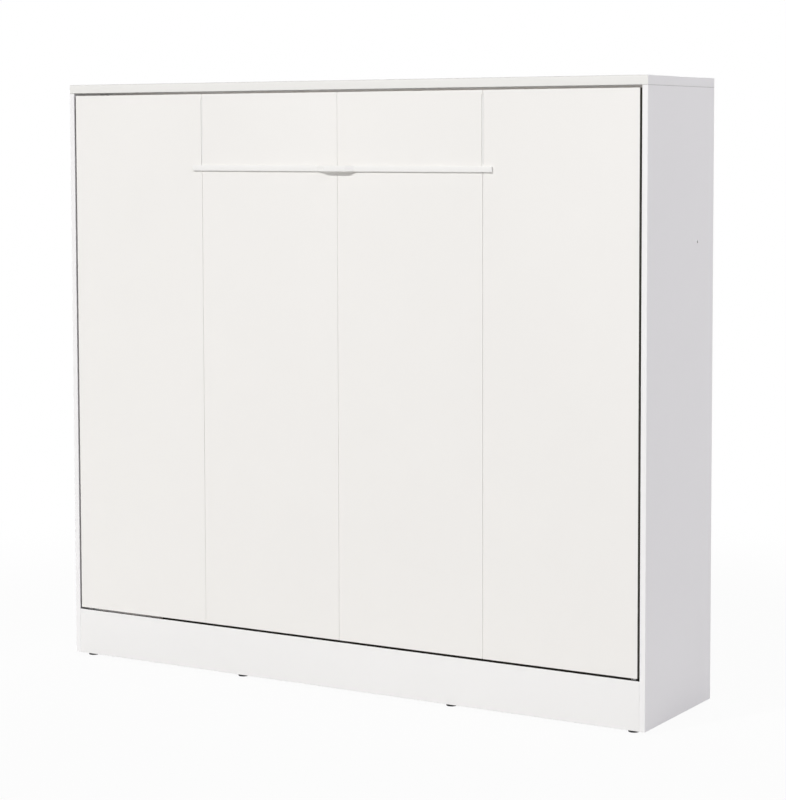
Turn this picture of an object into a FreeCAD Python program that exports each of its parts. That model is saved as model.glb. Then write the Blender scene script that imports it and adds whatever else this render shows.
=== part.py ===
"""Horizontal wall bed: a white cabinet whose front folds down into a bed for one mattress.

Millimetres, +Z up. The origin is on the floor, in the middle of the overall box. The front
faces -Y. Most places are given as x, depth behind the front face, and height.
"""
import FreeCAD, Part
import math
import os

Vec = FreeCAD.Vector

# Mattress and bed
MATTRESS_L = 2000.0
MATTRESS_W = 1600.0
MATTRESS_END_PLAY = 3.0
MATTRESS_SIDE_PLAY = 15.0
BED_UNDERSIDE = 187.0

# Cabinet boards
DEPTH = 480.0
SIDE_T = 18.0
TOP_T = 28.0
PLINTH_H = 150.0
PLINTH_T = 18.0
RAIL_H = 150.0
RAIL_T = 18.0
EDGE_R = 1.0
FOOT_H = 10.0
FOOT_R = 8.0
FOOT_TAPER = 1.0
FOOT_NAIL_R = 2.0
FOOT_NAIL_L = 14.0
FOOT_END_INSET = 32.0
FOOT_MIDDLE_X = 391.0
FRONT_FOOT_R = 17.5
FRONT_FOOT_INSET = 13.0
FRONT_FOOT_STEM_R = 4.0
HOLDER_EDGE = 2.5
HOLDER_H = 24.0
HOLDER_PLATE = 8.0
HOLDER_FLANGE = 5.0
HOLDER_RIB = 3.0
HOLDER_SCREW_RISE = 16.0
LINK_R = 4.0
LINK_DEPTH = 360.0
LINK_DROP = 494.0
WALL_HOLE_R = 4.0
WALL_HOLE_SPACING_X = 1200.0
WALL_HOLE_SPACING_Z = 90.0

# Front of the bed
FRONT_T = 18.0
BOARDS = 4
SEAM = 0.6
GAP_SIDE = 7.0
GAP_BOTTOM = 6.0
GAP_TOP = 8.0
BEVEL_START = 6.0
SWING_CLEAR = 5.0

# Steel frame and slats
TUBE_D = 40.0
TUBE_W = 30.0
TUBE_WALL = 2.0
TUBE_CORNER_R = 2.5
PLUG_L = 12.0
PLUG_LIP = 2.0
SLATS = 13
SLAT_MARGIN = 97.0
SLAT_W = 53.0
SLAT_T = 8.0
SLAT_RISE = 14.0
SLAT_END_PLAY = 2.0
CAP_EDGE = 1.0
CAP_WALL = 3.0
CAP_L = 34.0
CAP_CENTRE_L = 50.0
CAP_PEG_R = 4.0
CAP_PEG_L = 6.0
POCKET_SIDE_PLAY = 0.5
POCKET_H = 11.0
SLAT_SEAT_PLAY = 0.3

# Mattress bows and straps
BOW_R = 5.0
BOW_REACH = 90.0
BOW_BEND_R = 25.0
BOW_SOCKET = 8.0
BOW_EDGE = 1.0
BOW_SLAT = 2
STRAP_W = 40.0
STRAP_T = 1.6
STRAP_GAP_INDEX = 5.5
STRAP_END = 13.0
BUCKLE_L = 60.0
BUCKLE_WALL = 2.5
BUCKLE_PLAY = 0.25
BUCKLE_RISE = 240.0

# Pivots, levers and gas struts
PLATE_T = 4.0
PLATE_FRONT = 16.0
PLATE_REAR = 28.0
PLATE_BELOW = 40.0
PLATE_ABOVE = 38.0
PLATE_CORNER_R = 12.0
LEVER_T = 5.0
LEVER_HALF = 12.0
LEVER_END_R = 13.0
LEVER_RISE = 200.0
LEVER_BELOW = 20.0
LEVER_EDGE = 2.0
LEVER_BOLTS = (50.0, 110.0, 170.0)
PIVOT_R = 7.0
PIVOT_COLLAR_R = 10.0
PIVOT_SPIGOT_R = 5.0
BUSH_WALL = 2.5
BUSH_FLANGE_R = 12.0
BUSH_FLANGE_T = 1.5
STUD_R = 4.0
STUD_COLLAR_R = 7.0
CLIP_T = 1.5
CLIP_GROOVE = 0.8
CLIP_OUT = 2.5
SHAFT_TAIL = 1.5
END_FLOAT = 0.5
RUNNING_CLEAR = 0.05
STRUT_R = 10.0
STRUT_WALL = 1.5
STRUT_SIDE_CLEAR = 5.0
STRUT_ARM = 175.0
STRUT_ANGLE_CLOSED = 165.0
BED_SWING = 90.0
STRUT_NECK_R = 6.0
STRUT_NECK_L = 14.0
STRUT_END_T = 4.0
ROD_R = 4.0
ROD_CLEAR = 0.15
ROD_END_SPACE = 23.0
ROD_COLLAR_L = 6.0
GLAND_L = 12.0
GLAND_LIP = 2.0
PISTON_L = 10.0
PISTON_CLEAR = 0.3
PISTON_END_GAP = 10.0
EYE_R = 9.0
EYE_T = 14.0

# Folding leg, whose cross bar is the handle
BAR_H = 18.0
BAR_T = 5.0
BAR_GAP = 1.0
BAR_OVERHANG = 34.0
GRIP_FLAT = 78.0
GRIP_RAMP = 28.0
GRIP_OUT = 15.0
ARM_T = 5.0
ARM_W = 12.0
ARM_INSET = 1.0
ARM_EYE_R = 9.0
ARM_SHOULDER = 13.5
NOSE_RISE = 23.5
NOSE_T = 6.0
NOSE_FOOT = 5.0
LEG_AXIS_DEPTH = 24.0
LEG_PIN_R = 4.0
LEG_FLOOR_CLEAR = 1.0
SLOT_PLAY = 1.0
SLOT_END_PLAY = 1.0
SLOT_CAP = 13.0
HINGE_T = 2.5
HINGE_BELOW = 12.0
HINGE_ABOVE = 13.0
HINGE_CLEAR = 5.0
HINGE_PLAY = 1.5
HINGE_WEB_PLAY = 3.0
HINGE_FLANGE = 17.5

# Fasteners
SCREW_R = 2.0
SCREW_L = 15.0
SCREW_HEAD_R = 4.0
SCREW_HEAD_H = 2.6
HINGE_SCREW_L = 10.0
BOARD_SCREW_R = 2.5
BOARD_SCREW_BITE = 12.0
BOARD_SCREW_HEAD_R = 5.0
BOARD_SCREW_HEAD_H = 3.0
BOARD_SCREW_CAP_GAP = 10.0
STRAP_SCREW_HEAD_R = 9.0
STRAP_SCREW_L = 10.0
BOLT_R = 4.0
BOLT_HEAD_R = 7.5
BOLT_HEAD_H = 5.0
BOLT_L = 22.0
HOLE_CLEAR = 0.1
BRACKET_LEG = 40.0
BRACKET_W = 20.0
BRACKET_T = 2.5
BRACKET_SCREW_AT = 24.0
PLINTH_BRACKET_Z = 108.0
TOP_BRACKET_FRONT = 150.0
TOP_BRACKET_REAR_INSET = 62.0
RAIL_BRACKET_X = 500.0
STOP_LEG = 30.0
STOP_DROP = 180.0
STOP_GAP = 0.3
PAD_R = 8.0
PAD_T = 3.0
PAD_STEM_R = 3.0
PAD_STEM_L = 4.0

# Widths, from the mattress outwards
FRAME_X = MATTRESS_L / 2 + MATTRESS_END_PLAY
LEVER_X = FRAME_X + LEVER_T
STRUT_X = LEVER_X + STRUT_SIDE_CLEAR + STRUT_R
PLATE_X = STRUT_X + STRUT_R + STRUT_SIDE_CLEAR
INNER_X = PLATE_X + PLATE_T
OUTER_X = INNER_X + SIDE_T
FRONT_X = INNER_X - GAP_SIDE
END_TUBE_X = FRAME_X - TUBE_W
BOARD_W = (2 * FRONT_X - (BOARDS - 1) * SEAM) / BOARDS
SLOT_X = BOARD_W + SEAM

# Depths behind the front face
TUBE_REAR = FRONT_T + TUBE_D
PIVOT_DEPTH = FRONT_T + TUBE_D / 2
RAIL_FRONT = DEPTH - RAIL_T
BAR_FRONT = -BAR_GAP - BAR_T
FRONT_Y = -(DEPTH + BAR_FRONT - GRIP_OUT) / 2

# Heights, from the floor up
PLINTH_TOP = FOOT_H + PLINTH_H
FRONT_LOW = PLINTH_TOP + GAP_BOTTOM
PIVOT_Z = BED_UNDERSIDE + PIVOT_DEPTH
FRAME_LOW = PIVOT_Z - TUBE_W / 2
FRAME_TOP = FRAME_LOW + MATTRESS_W + 2 * MATTRESS_SIDE_PLAY
UPPER_TUBE_Z = FRAME_TOP - TUBE_W / 2
CENTRE_TUBE_Z = (PIVOT_Z + UPPER_TUBE_Z) / 2
LEG_AXIS_Z = FRAME_TOP + HINGE_CLEAR + HINGE_BELOW
SLOT_TOP = LEG_AXIS_Z + LEG_AXIS_DEPTH - ARM_INSET + SLOT_END_PLAY
SLOT_ROOF_R = math.hypot(LEG_AXIS_DEPTH - ARM_INSET, NOSE_RISE) + SLOT_PLAY
FRONT_TOP = SLOT_TOP + SLOT_CAP
SIDE_TOP = FRONT_TOP + GAP_TOP
HEIGHT = SIDE_TOP + TOP_T
BAR_LOW = LEG_AXIS_Z - (BED_UNDERSIDE + LEG_AXIS_DEPTH - LEG_FLOOR_CLEAR)
BAR_TOP = BAR_LOW + BAR_H

# Gas strut: its two pins lie on one circle about the bed's pivot, so both ends turn by half the swing
ANCHOR_ANGLE = math.radians(270.0 + STRUT_ANGLE_CLOSED)
ANCHOR_DEPTH = PIVOT_DEPTH + STRUT_ARM * math.cos(ANCHOR_ANGLE)
ANCHOR_Z = PIVOT_Z + STRUT_ARM * math.sin(ANCHOR_ANGLE)
LEVER_PIN_Z = PIVOT_Z - STRUT_ARM
STRUT_LONG = 2 * STRUT_ARM * math.sin(math.radians(STRUT_ANGLE_CLOSED / 2))
STRUT_SHORT = 2 * STRUT_ARM * math.sin(math.radians((STRUT_ANGLE_CLOSED - BED_SWING) / 2))
CYLINDER_L = STRUT_SHORT - ROD_END_SPACE
CYLINDER_BORE_START = STRUT_NECK_L + STRUT_END_T
ROD_L = STRUT_SHORT - CYLINDER_BORE_START - PISTON_END_GAP

# Slats
SLAT_PITCH = 2 * (END_TUBE_X - SLAT_MARGIN) / (SLATS - 1)
CAP_W = SLAT_W + 2 * POCKET_SIDE_PLAY + 2 * CAP_WALL
CAP_H = POCKET_H + 2 * CAP_WALL

SIDES = (("left", -1), ("right", 1))
TINY = 1e-6
X_AXIS = Vec(1, 0, 0)
REARWARDS = Vec(0, 1, 0)
UPWARDS = Vec(0, 0, 1)

pieces = {}
cutters = {}


def add(node, *solids):
    """Put solids into a node."""
    pieces.setdefault(node, []).extend(solids)


def drill(node, *shapes):
    """Shapes to take out of a node when all its solids are made."""
    cutters.setdefault(node, []).extend(shapes)


def at(x, depth, z):
    """Point at x, a depth behind the front face, and a height."""
    return Vec(x, FRONT_Y + depth, z)


def block(x, depth, z):
    """Box between two values of x, of depth and of height."""
    low = at(min(x), min(depth), min(z))
    return Part.makeBox(max(x) - min(x), max(depth) - min(depth), max(z) - min(z), low)


def slab(corner, *edges):
    """Box with one corner and three edges along the axes."""
    far = corner + edges[0] + edges[1] + edges[2]
    low = Vec(min(corner.x, far.x), min(corner.y, far.y), min(corner.z, far.z))
    return Part.makeBox(abs(far.x - corner.x), abs(far.y - corner.y), abs(far.z - corner.z), low)


def bar_x(x, depth, z, radius):
    """Round bar along X between two values of x."""
    return Part.makeCylinder(radius, max(x) - min(x), at(min(x), depth, z), X_AXIS)


def bar_through(x, depth, z, radius):
    """Round bar along the depth between two depths."""
    return Part.makeCylinder(radius, max(depth) - min(depth), at(x, min(depth), z), REARWARDS)


def side_profile(points, x):
    """Prism of a polygon of (depth, height) points between two values of x."""
    corners = [at(min(x), depth, z) for depth, z in points]
    face = Part.Face(Part.makePolygon(corners + corners[:1]))
    return face.extrude(X_AXIS * (max(x) - min(x)))


def plan_profile(points, z):
    """Prism of a polygon of (x, depth) points between two heights."""
    corners = [at(x, depth, min(z)) for x, depth in points]
    face = Part.Face(Part.makePolygon(corners + corners[:1]))
    return face.extrude(UPWARDS * (max(z) - min(z)))


def joined(first, *others):
    """One solid from solids that meet."""
    return first.fuse(list(others)).removeSplitter()


def edges_along(solid, direction):
    """A solid's straight edges in one direction."""
    return [edge for edge in solid.Edges
            if edge.tangentAt(edge.FirstParameter).cross(direction).Length < TINY]


def board(x, depth, z):
    """Laminated board with banded, slightly rounded edges."""
    solid = block(x, depth, z)
    return solid.makeFillet(EDGE_R, solid.Edges)


def screw(seat, outwards, radius, length, head_r, head_h):
    """Pan-head screw whose head sits on seat and whose shank goes the other way."""
    shank = Part.makeCylinder(radius, length, seat, outwards * -1)
    head = Part.makeCylinder(head_r, head_h, seat, outwards)
    rim = [edge for edge in head.Edges if abs((edge.CenterOfMass - seat).dot(outwards) - head_h) < TINY]
    return joined(shank, head.makeFillet(head_h / 2, rim))


def screw_hole(seat, outwards, radius, length):
    """Hole for a screw's shank, open at its seat."""
    return Part.makeCylinder(radius + HOLE_CLEAR, length + HOLE_CLEAR, seat, outwards * -1)


def cabinet_screw(node, seat, outwards):
    """Screw through a steel piece into a cabinet board."""
    add("cabinet_screws", screw(seat, outwards, SCREW_R, SCREW_L, SCREW_HEAD_R, SCREW_HEAD_H))
    drill(node, screw_hole(seat, outwards, SCREW_R, SCREW_L))


def retaining_clip(x, sign, depth, z, shaft_r):
    """Ring in a shaft's groove. It starts at x and runs along X on the side that sign gives."""
    span = (x, x + sign * CLIP_T)
    ring = bar_x(span, depth, z, shaft_r + CLIP_OUT)
    return ring.cut(bar_x(span, depth, z, shaft_r - CLIP_GROOVE + RUNNING_CLEAR))


def clip_groove(x, sign, depth, z, shaft_r):
    """What a clip's groove takes out of a shaft."""
    span = (x, x + sign * CLIP_T)
    return bar_x(span, depth, z, shaft_r + CLIP_OUT).cut(bar_x(span, depth, z, shaft_r - CLIP_GROOVE))


def carcass():
    """Side panels, top, plinth and the two rear rails."""
    for name, sign in SIDES:
        node = name + "_side_panel"
        add(node, board((sign * INNER_X, sign * OUTER_X), (0, DEPTH), (FOOT_H, SIDE_TOP)))
        drill(node, bar_x((sign * INNER_X, sign * OUTER_X), LINK_DEPTH, HEIGHT - LINK_DROP, LINK_R))
    add("top_panel", board((-OUTER_X, OUTER_X), (0, DEPTH), (SIDE_TOP, HEIGHT)))
    between = (-INNER_X, INNER_X)
    add("plinth_board", board(between, (0, PLINTH_T), (FOOT_H, PLINTH_TOP)))
    # The front's lower corner swings down behind the plinth, whose rear edge is bevelled for it
    corner_r = math.hypot(PIVOT_DEPTH, PIVOT_Z - FRONT_LOW)
    corner_z = PIVOT_Z - math.sqrt(corner_r ** 2 - (PIVOT_DEPTH - PLINTH_T) ** 2)
    bevel_low = corner_z - SWING_CLEAR
    bevel = [(BEVEL_START, PLINTH_TOP), (PLINTH_T, bevel_low), (PLINTH_T, PLINTH_TOP)]
    drill("plinth_board", side_profile(bevel, between))
    add("rear_bottom_rail", board(between, (RAIL_FRONT, DEPTH), (FOOT_H, FOOT_H + RAIL_H)))
    add("rear_top_rail", board(between, (RAIL_FRONT, DEPTH), (SIDE_TOP - RAIL_H, SIDE_TOP)))
    for x in (-WALL_HOLE_SPACING_X / 2, WALL_HOLE_SPACING_X / 2):
        for rise in (-WALL_HOLE_SPACING_Z / 2, WALL_HOLE_SPACING_Z / 2):
            hole = bar_through(x, (RAIL_FRONT, DEPTH), SIDE_TOP - RAIL_H / 2 + rise, WALL_HOLE_R)
            drill("rear_top_rail", hole)


def foot_places():
    """Where the feet of a row stand along the width."""
    end_x = INNER_X - FOOT_END_INSET
    return -end_x, -FOOT_MIDDLE_X, FOOT_MIDDLE_X, end_x


def glide(place, radius, pin_r, pin_l):
    """Plastic glide, wider at its top, with the pin that holds it."""
    disc = Part.makeCone(radius - FOOT_TAPER, radius, FOOT_H, place)
    return joined(disc, Part.makeCylinder(pin_r, pin_l, place + UPWARDS * FOOT_H))


def rear_feet():
    """Small glides nailed under the rear bottom rail."""
    depth = DEPTH - RAIL_T / 2
    for x in foot_places():
        add("rear_feet", glide(at(x, depth, 0), FOOT_R, FOOT_NAIL_R, FOOT_NAIL_L))
        hole = screw_hole(at(x, depth, FOOT_H), UPWARDS * -1, FOOT_NAIL_R, FOOT_NAIL_L)
        drill("rear_bottom_rail", hole)


def front_feet():
    """Wide glides in ribbed holders, each holder screwed to the rear of the plinth."""
    depth = PLINTH_T + FRONT_FOOT_INSET
    half = FRONT_FOOT_R + HOLDER_EDGE
    flange_rear = PLINTH_T + HOLDER_FLANGE
    plate_rear = depth + half
    plate_top = FOOT_H + HOLDER_PLATE
    top = FOOT_H + HOLDER_H
    rib = [(flange_rear, plate_top), (plate_rear, plate_top), (flange_rear, top)]
    for x in foot_places():
        add("front_feet", glide(at(x, depth, 0), FRONT_FOOT_R, FRONT_FOOT_STEM_R, HOLDER_PLATE))
        width = (x - half, x + half)
        holder = joined(block(width, (PLINTH_T, flange_rear), (FOOT_H, top)),
                        block(width, (PLINTH_T, plate_rear), (FOOT_H, plate_top)),
                        side_profile(rib, (x - half, x - half + HOLDER_RIB)),
                        side_profile(rib, (x + half - HOLDER_RIB, x + half)))
        seat = at(x, flange_rear, FOOT_H + HOLDER_SCREW_RISE)
        bore = screw_hole(at(x, depth, FOOT_H), UPWARDS * -1, FRONT_FOOT_STEM_R, HOLDER_PLATE)
        add("foot_holders", holder.cut([screw_hole(seat, REARWARDS, SCREW_R, HOLDER_FLANGE), bore]))
        cabinet_screw("plinth_board", seat, REARWARDS)


def angle_iron(corner, out_a, out_b, leg_a, leg_b):
    """Steel angle: leg a lies on the face that out_a leaves, leg b on the face that out_b leaves."""
    along = out_a.cross(out_b) * BRACKET_W
    start = corner - along * 0.5
    return joined(slab(start, out_b * leg_a, out_a * BRACKET_T, along),
                  slab(start, out_a * leg_b, out_b * BRACKET_T, along))


def corner_bracket(board_a, out_a, board_b, out_b, corner):
    """Angle in the corner of two boards, with one screw into each."""
    angle = angle_iron(corner, out_a, out_b, BRACKET_LEG, BRACKET_LEG)
    for node, outwards, along in ((board_a, out_a, out_b), (board_b, out_b, out_a)):
        seat = corner + along * BRACKET_SCREW_AT + outwards * BRACKET_T
        angle = angle.cut(screw_hole(seat, outwards, SCREW_R, BRACKET_T))
        cabinet_screw(node, seat, outwards)
    add("corner_brackets", angle)


def corner_brackets():
    """Angles that hold the cabinet's boards together, all on the inside."""
    rail_z = SIDE_TOP - RAIL_H / 2
    low_rail_z = FOOT_H + RAIL_H / 2
    downwards = UPWARDS * -1
    forwards = REARWARDS * -1
    for name, sign in SIDES:
        panel = name + "_side_panel"
        inwards = X_AXIS * -sign
        x = sign * INNER_X
        for depth in (TOP_BRACKET_FRONT, RAIL_FRONT - TOP_BRACKET_REAR_INSET):
            corner_bracket(panel, inwards, "top_panel", downwards, at(x, depth, SIDE_TOP))
        plinth_corner = at(x, PLINTH_T, FOOT_H + PLINTH_BRACKET_Z)
        corner_bracket(panel, inwards, "plinth_board", REARWARDS, plinth_corner)
        corner_bracket(panel, inwards, "rear_top_rail", forwards, at(x, RAIL_FRONT, rail_z))
        corner_bracket(panel, inwards, "rear_bottom_rail", forwards, at(x, RAIL_FRONT, low_rail_z))
        rail_corner = at(sign * RAIL_BRACKET_X, RAIL_FRONT, SIDE_TOP)
        corner_bracket("top_panel", downwards, "rear_top_rail", forwards, rail_corner)


def front_stops():
    """Angles with rubber pads that the closed front leans on."""
    z = SIDE_TOP - STOP_DROP
    face = FRONT_T + STOP_GAP + PAD_T
    for name, sign in SIDES:
        inwards = X_AXIS * -sign
        corner = at(sign * INNER_X, face, z)
        pad_x = sign * (INNER_X - STOP_LEG / 2 - BRACKET_T)
        seat = corner + REARWARDS * BRACKET_SCREW_AT + inwards * BRACKET_T
        angle = angle_iron(corner, inwards, REARWARDS, BRACKET_LEG, STOP_LEG)
        angle = angle.cut(screw_hole(seat, inwards, SCREW_R, BRACKET_T))
        angle = angle.cut(bar_through(pad_x, (face, face + BRACKET_T), z, PAD_STEM_R + HOLE_CLEAR))
        cabinet_screw(name + "_side_panel", seat, inwards)
        pad = bar_through(pad_x, (face - PAD_T, face), z, PAD_R)
        stem = bar_through(pad_x, (face, face + PAD_STEM_L), z, PAD_STEM_R)
        add("stop_brackets", angle)
        add("stop_pads", joined(pad, stem))


def pivot_plates():
    """Side plates with the bed's pivot pin and the gas strut's anchor stud."""
    depths = (PIVOT_DEPTH - PLATE_FRONT, ANCHOR_DEPTH + PLATE_REAR)
    heights = (PIVOT_Z - PLATE_BELOW, ANCHOR_Z + PLATE_ABOVE)
    mid_z = (PIVOT_Z + ANCHOR_Z) / 2
    inset = PLATE_CORNER_R
    screw_places = [(depths[0] + inset, heights[1] - inset), (depths[1] - inset, heights[1] - inset),
                    (depths[0] + inset, mid_z), (depths[1] - inset, mid_z),
                    (depths[1] - inset, heights[0] + inset)]
    for name, sign in SIDES:
        span = (sign * PLATE_X, sign * INNER_X)
        plate = block(span, depths, heights)
        plate = plate.makeFillet(PLATE_CORNER_R, edges_along(plate, X_AXIS))
        holes = [bar_x(span, PIVOT_DEPTH, PIVOT_Z, PIVOT_SPIGOT_R + HOLE_CLEAR),
                 bar_x(span, ANCHOR_DEPTH, ANCHOR_Z, STUD_R + HOLE_CLEAR)]
        inwards = X_AXIS * -sign
        for depth, z in screw_places:
            seat = at(sign * PLATE_X, depth, z)
            holes.append(screw_hole(seat, inwards, SCREW_R, PLATE_T))
            cabinet_screw(name + "_side_panel", seat, inwards)
        add(name + "_pivot_plate", plate.cut(holes))
        pivot_pin(name, sign)
        anchor_stud(sign)


def pivot_pin(name, sign):
    """Shouldered pin from the side plate through the bed's lever, with a clip on its end."""
    bush_face = LEVER_X + BUSH_FLANGE_T + END_FLOAT
    clip_x = FRAME_X - END_FLOAT
    journal_end = clip_x - CLIP_T - SHAFT_TAIL
    spigot = bar_x((sign * PLATE_X, sign * INNER_X), PIVOT_DEPTH, PIVOT_Z, PIVOT_SPIGOT_R)
    collar = bar_x((sign * bush_face, sign * PLATE_X), PIVOT_DEPTH, PIVOT_Z, PIVOT_COLLAR_R)
    journal = bar_x((sign * journal_end, sign * bush_face), PIVOT_DEPTH, PIVOT_Z, PIVOT_R)
    pin = joined(collar, spigot, journal)
    clip = (sign * clip_x, -sign, PIVOT_DEPTH, PIVOT_Z, PIVOT_R)
    add(name + "_pivot_pin", pin.cut(clip_groove(*clip)))
    add("cabinet_clips", retaining_clip(*clip))


def anchor_stud(sign):
    """Stud on the side plate that carries the strut's cylinder end."""
    eye_outer = STRUT_X + EYE_T / 2 + END_FLOAT
    clip_x = STRUT_X - EYE_T / 2 - END_FLOAT
    place = (ANCHOR_DEPTH, ANCHOR_Z)
    spigot = bar_x((sign * PLATE_X, sign * INNER_X), *place, STUD_R)
    collar = bar_x((sign * eye_outer, sign * PLATE_X), *place, STUD_COLLAR_R)
    journal_end = clip_x - CLIP_T - SHAFT_TAIL
    journal = bar_x((sign * journal_end, sign * eye_outer), *place, STUD_R)
    clip = (sign * clip_x, -sign, *place, STUD_R)
    add("strut_anchor_studs", joined(collar, spigot, journal).cut(clip_groove(*clip)))
    add("cabinet_clips", retaining_clip(*clip))


def levers():
    """Plates on the bed frame's ends, each with its pivot bush and the stud for the strut's rod."""
    bush_r = PIVOT_R + BUSH_WALL
    for name, sign in SIDES:
        span = (sign * FRAME_X, sign * LEVER_X)
        arm = block(span, (PIVOT_DEPTH - LEVER_HALF, PIVOT_DEPTH + LEVER_HALF), (LEVER_PIN_Z, PIVOT_Z))
        end = bar_x(span, PIVOT_DEPTH, LEVER_PIN_Z, LEVER_END_R)
        head = block(span, (FRONT_T + LEVER_EDGE, TUBE_REAR - LEVER_EDGE),
                     (PIVOT_Z - LEVER_BELOW, PIVOT_Z + LEVER_RISE))
        holes = [bar_x(span, PIVOT_DEPTH, PIVOT_Z, bush_r + RUNNING_CLEAR),
                 bar_x(span, PIVOT_DEPTH, LEVER_PIN_Z, STUD_R + HOLE_CLEAR)]
        for rise in LEVER_BOLTS:
            holes.append(bar_x(span, PIVOT_DEPTH, PIVOT_Z + rise, BOLT_R + HOLE_CLEAR))
            lever_bolt(name, sign, PIVOT_Z + rise)
        add(name + "_lever_plate", joined(arm, end, head).cut(holes))
        sleeve = bar_x(span, PIVOT_DEPTH, PIVOT_Z, bush_r)
        flange_span = (sign * LEVER_X, sign * (LEVER_X + BUSH_FLANGE_T))
        flange = bar_x(flange_span, PIVOT_DEPTH, PIVOT_Z, BUSH_FLANGE_R)
        bore = bar_x((sign * FRAME_X, flange_span[1]), PIVOT_DEPTH, PIVOT_Z, PIVOT_R + RUNNING_CLEAR)
        add("pivot_bushes", joined(sleeve, flange).cut(bore))
        lever_stud(sign)


def lever_bolt(name, sign, z):
    """Hexagon bolt that holds a lever plate on the frame's end tube."""
    seat = sign * LEVER_X
    end = sign * (LEVER_X - BOLT_L)
    corners = [Vec(seat, FRONT_Y + PIVOT_DEPTH + BOLT_HEAD_R * math.cos(math.radians(60 * i)),
                   z + BOLT_HEAD_R * math.sin(math.radians(60 * i))) for i in range(6)]
    head = Part.Face(Part.makePolygon(corners + corners[:1])).extrude(X_AXIS * sign * BOLT_HEAD_H)
    add("lever_bolts", joined(head, bar_x((end, seat), PIVOT_DEPTH, z, BOLT_R)))
    wall = (sign * (FRAME_X - TUBE_WALL), sign * FRAME_X)
    drill("frame_%s_tube" % name, bar_x(wall, PIVOT_DEPTH, z, BOLT_R + HOLE_CLEAR))


def lever_stud(sign):
    """Stud on the lever that carries the strut's rod end."""
    eye_inner = STRUT_X - EYE_T / 2 - END_FLOAT
    clip_x = STRUT_X + EYE_T / 2 + END_FLOAT
    place = (PIVOT_DEPTH, LEVER_PIN_Z)
    spigot = bar_x((sign * FRAME_X, sign * LEVER_X), *place, STUD_R)
    collar = bar_x((sign * LEVER_X, sign * eye_inner), *place, STUD_COLLAR_R)
    journal_end = clip_x + CLIP_T + SHAFT_TAIL
    journal = bar_x((sign * eye_inner, sign * journal_end), *place, STUD_R)
    clip = (sign * clip_x, sign, *place, STUD_R)
    add("lever_studs", joined(collar, spigot, journal).cut(clip_groove(*clip)))
    add("lever_clips", retaining_clip(*clip))


def gas_struts():
    """Gas strut at each end of the bed, drawn out as it is when the bed is closed."""
    for name, sign in SIDES:
        anchor = at(sign * STRUT_X, ANCHOR_DEPTH, ANCHOR_Z)
        lever = at(sign * STRUT_X, PIVOT_DEPTH, LEVER_PIN_Z)
        line = (lever - anchor).normalize()

        def along(start, end, radius):
            return Part.makeCylinder(radius, end - start, anchor + line * start, line)

        def eye(centre, radius):
            return Part.makeCylinder(radius, EYE_T, centre - X_AXIS * (EYE_T / 2), X_AXIS)

        bore_r = STRUT_R - STRUT_WALL
        barrel = along(STRUT_NECK_L, CYLINDER_L, STRUT_R).cut(along(CYLINDER_BORE_START, CYLINDER_L, bore_r))
        cylinder = joined(barrel, along(0, STRUT_NECK_L, STRUT_NECK_R), eye(anchor, EYE_R))
        add(name + "_strut_cylinder", cylinder.cut(eye(anchor, STUD_R + RUNNING_CLEAR)))

        ring = along(CYLINDER_L - GLAND_L, CYLINDER_L, bore_r - RUNNING_CLEAR)
        lip = along(CYLINDER_L, CYLINDER_L + GLAND_LIP, STRUT_R)
        passage = along(CYLINDER_L - GLAND_L, CYLINDER_L + GLAND_LIP, ROD_R + ROD_CLEAR)
        add(name + "_strut_gland", joined(ring, lip).cut(passage))

        inner_end = STRUT_LONG - ROD_L
        rod = joined(along(inner_end, STRUT_LONG, ROD_R), eye(lever, EYE_R),
                     along(STRUT_LONG - EYE_R - ROD_COLLAR_L, STRUT_LONG, STRUT_NECK_R))
        add(name + "_strut_rod", rod.cut(eye(lever, STUD_R + RUNNING_CLEAR)))
        piston = along(inner_end, inner_end + PISTON_L, bore_r - PISTON_CLEAR)
        hole = along(inner_end, inner_end + PISTON_L, ROD_R + RUNNING_CLEAR)
        add(name + "_strut_piston", piston.cut(hole))


def front_board_at(x):
    """Name of the front board that covers a place along the width."""
    return "front_board_%d" % (1 + int((x + FRONT_X) // (BOARD_W + SEAM)))


def front_boards():
    """Equal boards that make the closed front and, lowered, the bed's underside.

    The leg's arms lie in slots along the outer seams. The arm's nose swings under the slot's arched roof.
    """
    slot_half = ARM_T / 2 + SLOT_PLAY
    for index in range(BOARDS):
        left = -FRONT_X + index * (BOARD_W + SEAM)
        node = front_board_at(left + BOARD_W / 2)
        add(node, board((left, left + BOARD_W), (0, FRONT_T), (FRONT_LOW, FRONT_TOP)))
        for seam_x in (-SLOT_X, SLOT_X):
            span = (seam_x - slot_half, seam_x + slot_half)
            drill(node, block(span, (0, FRONT_T), (BAR_LOW - SLOT_END_PLAY, SLOT_TOP)),
                  bar_x(span, LEG_AXIS_DEPTH, LEG_AXIS_Z, SLOT_ROOF_R))


def tube(x, depth, z, run):
    """Rectangular steel tube whose length lies along the direction run, open at both ends."""
    outer = block(x, depth, z)
    wall = TUBE_WALL * (1 - abs(run.x))
    wall_z = TUBE_WALL * (1 - abs(run.z))
    inner = block((min(x) + wall, max(x) - wall), (min(depth) + TUBE_WALL, max(depth) - TUBE_WALL),
                  (min(z) + wall_z, max(z) - wall_z))
    return outer.makeFillet(TUBE_CORNER_R, edges_along(outer, run)).cut(inner)


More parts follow.
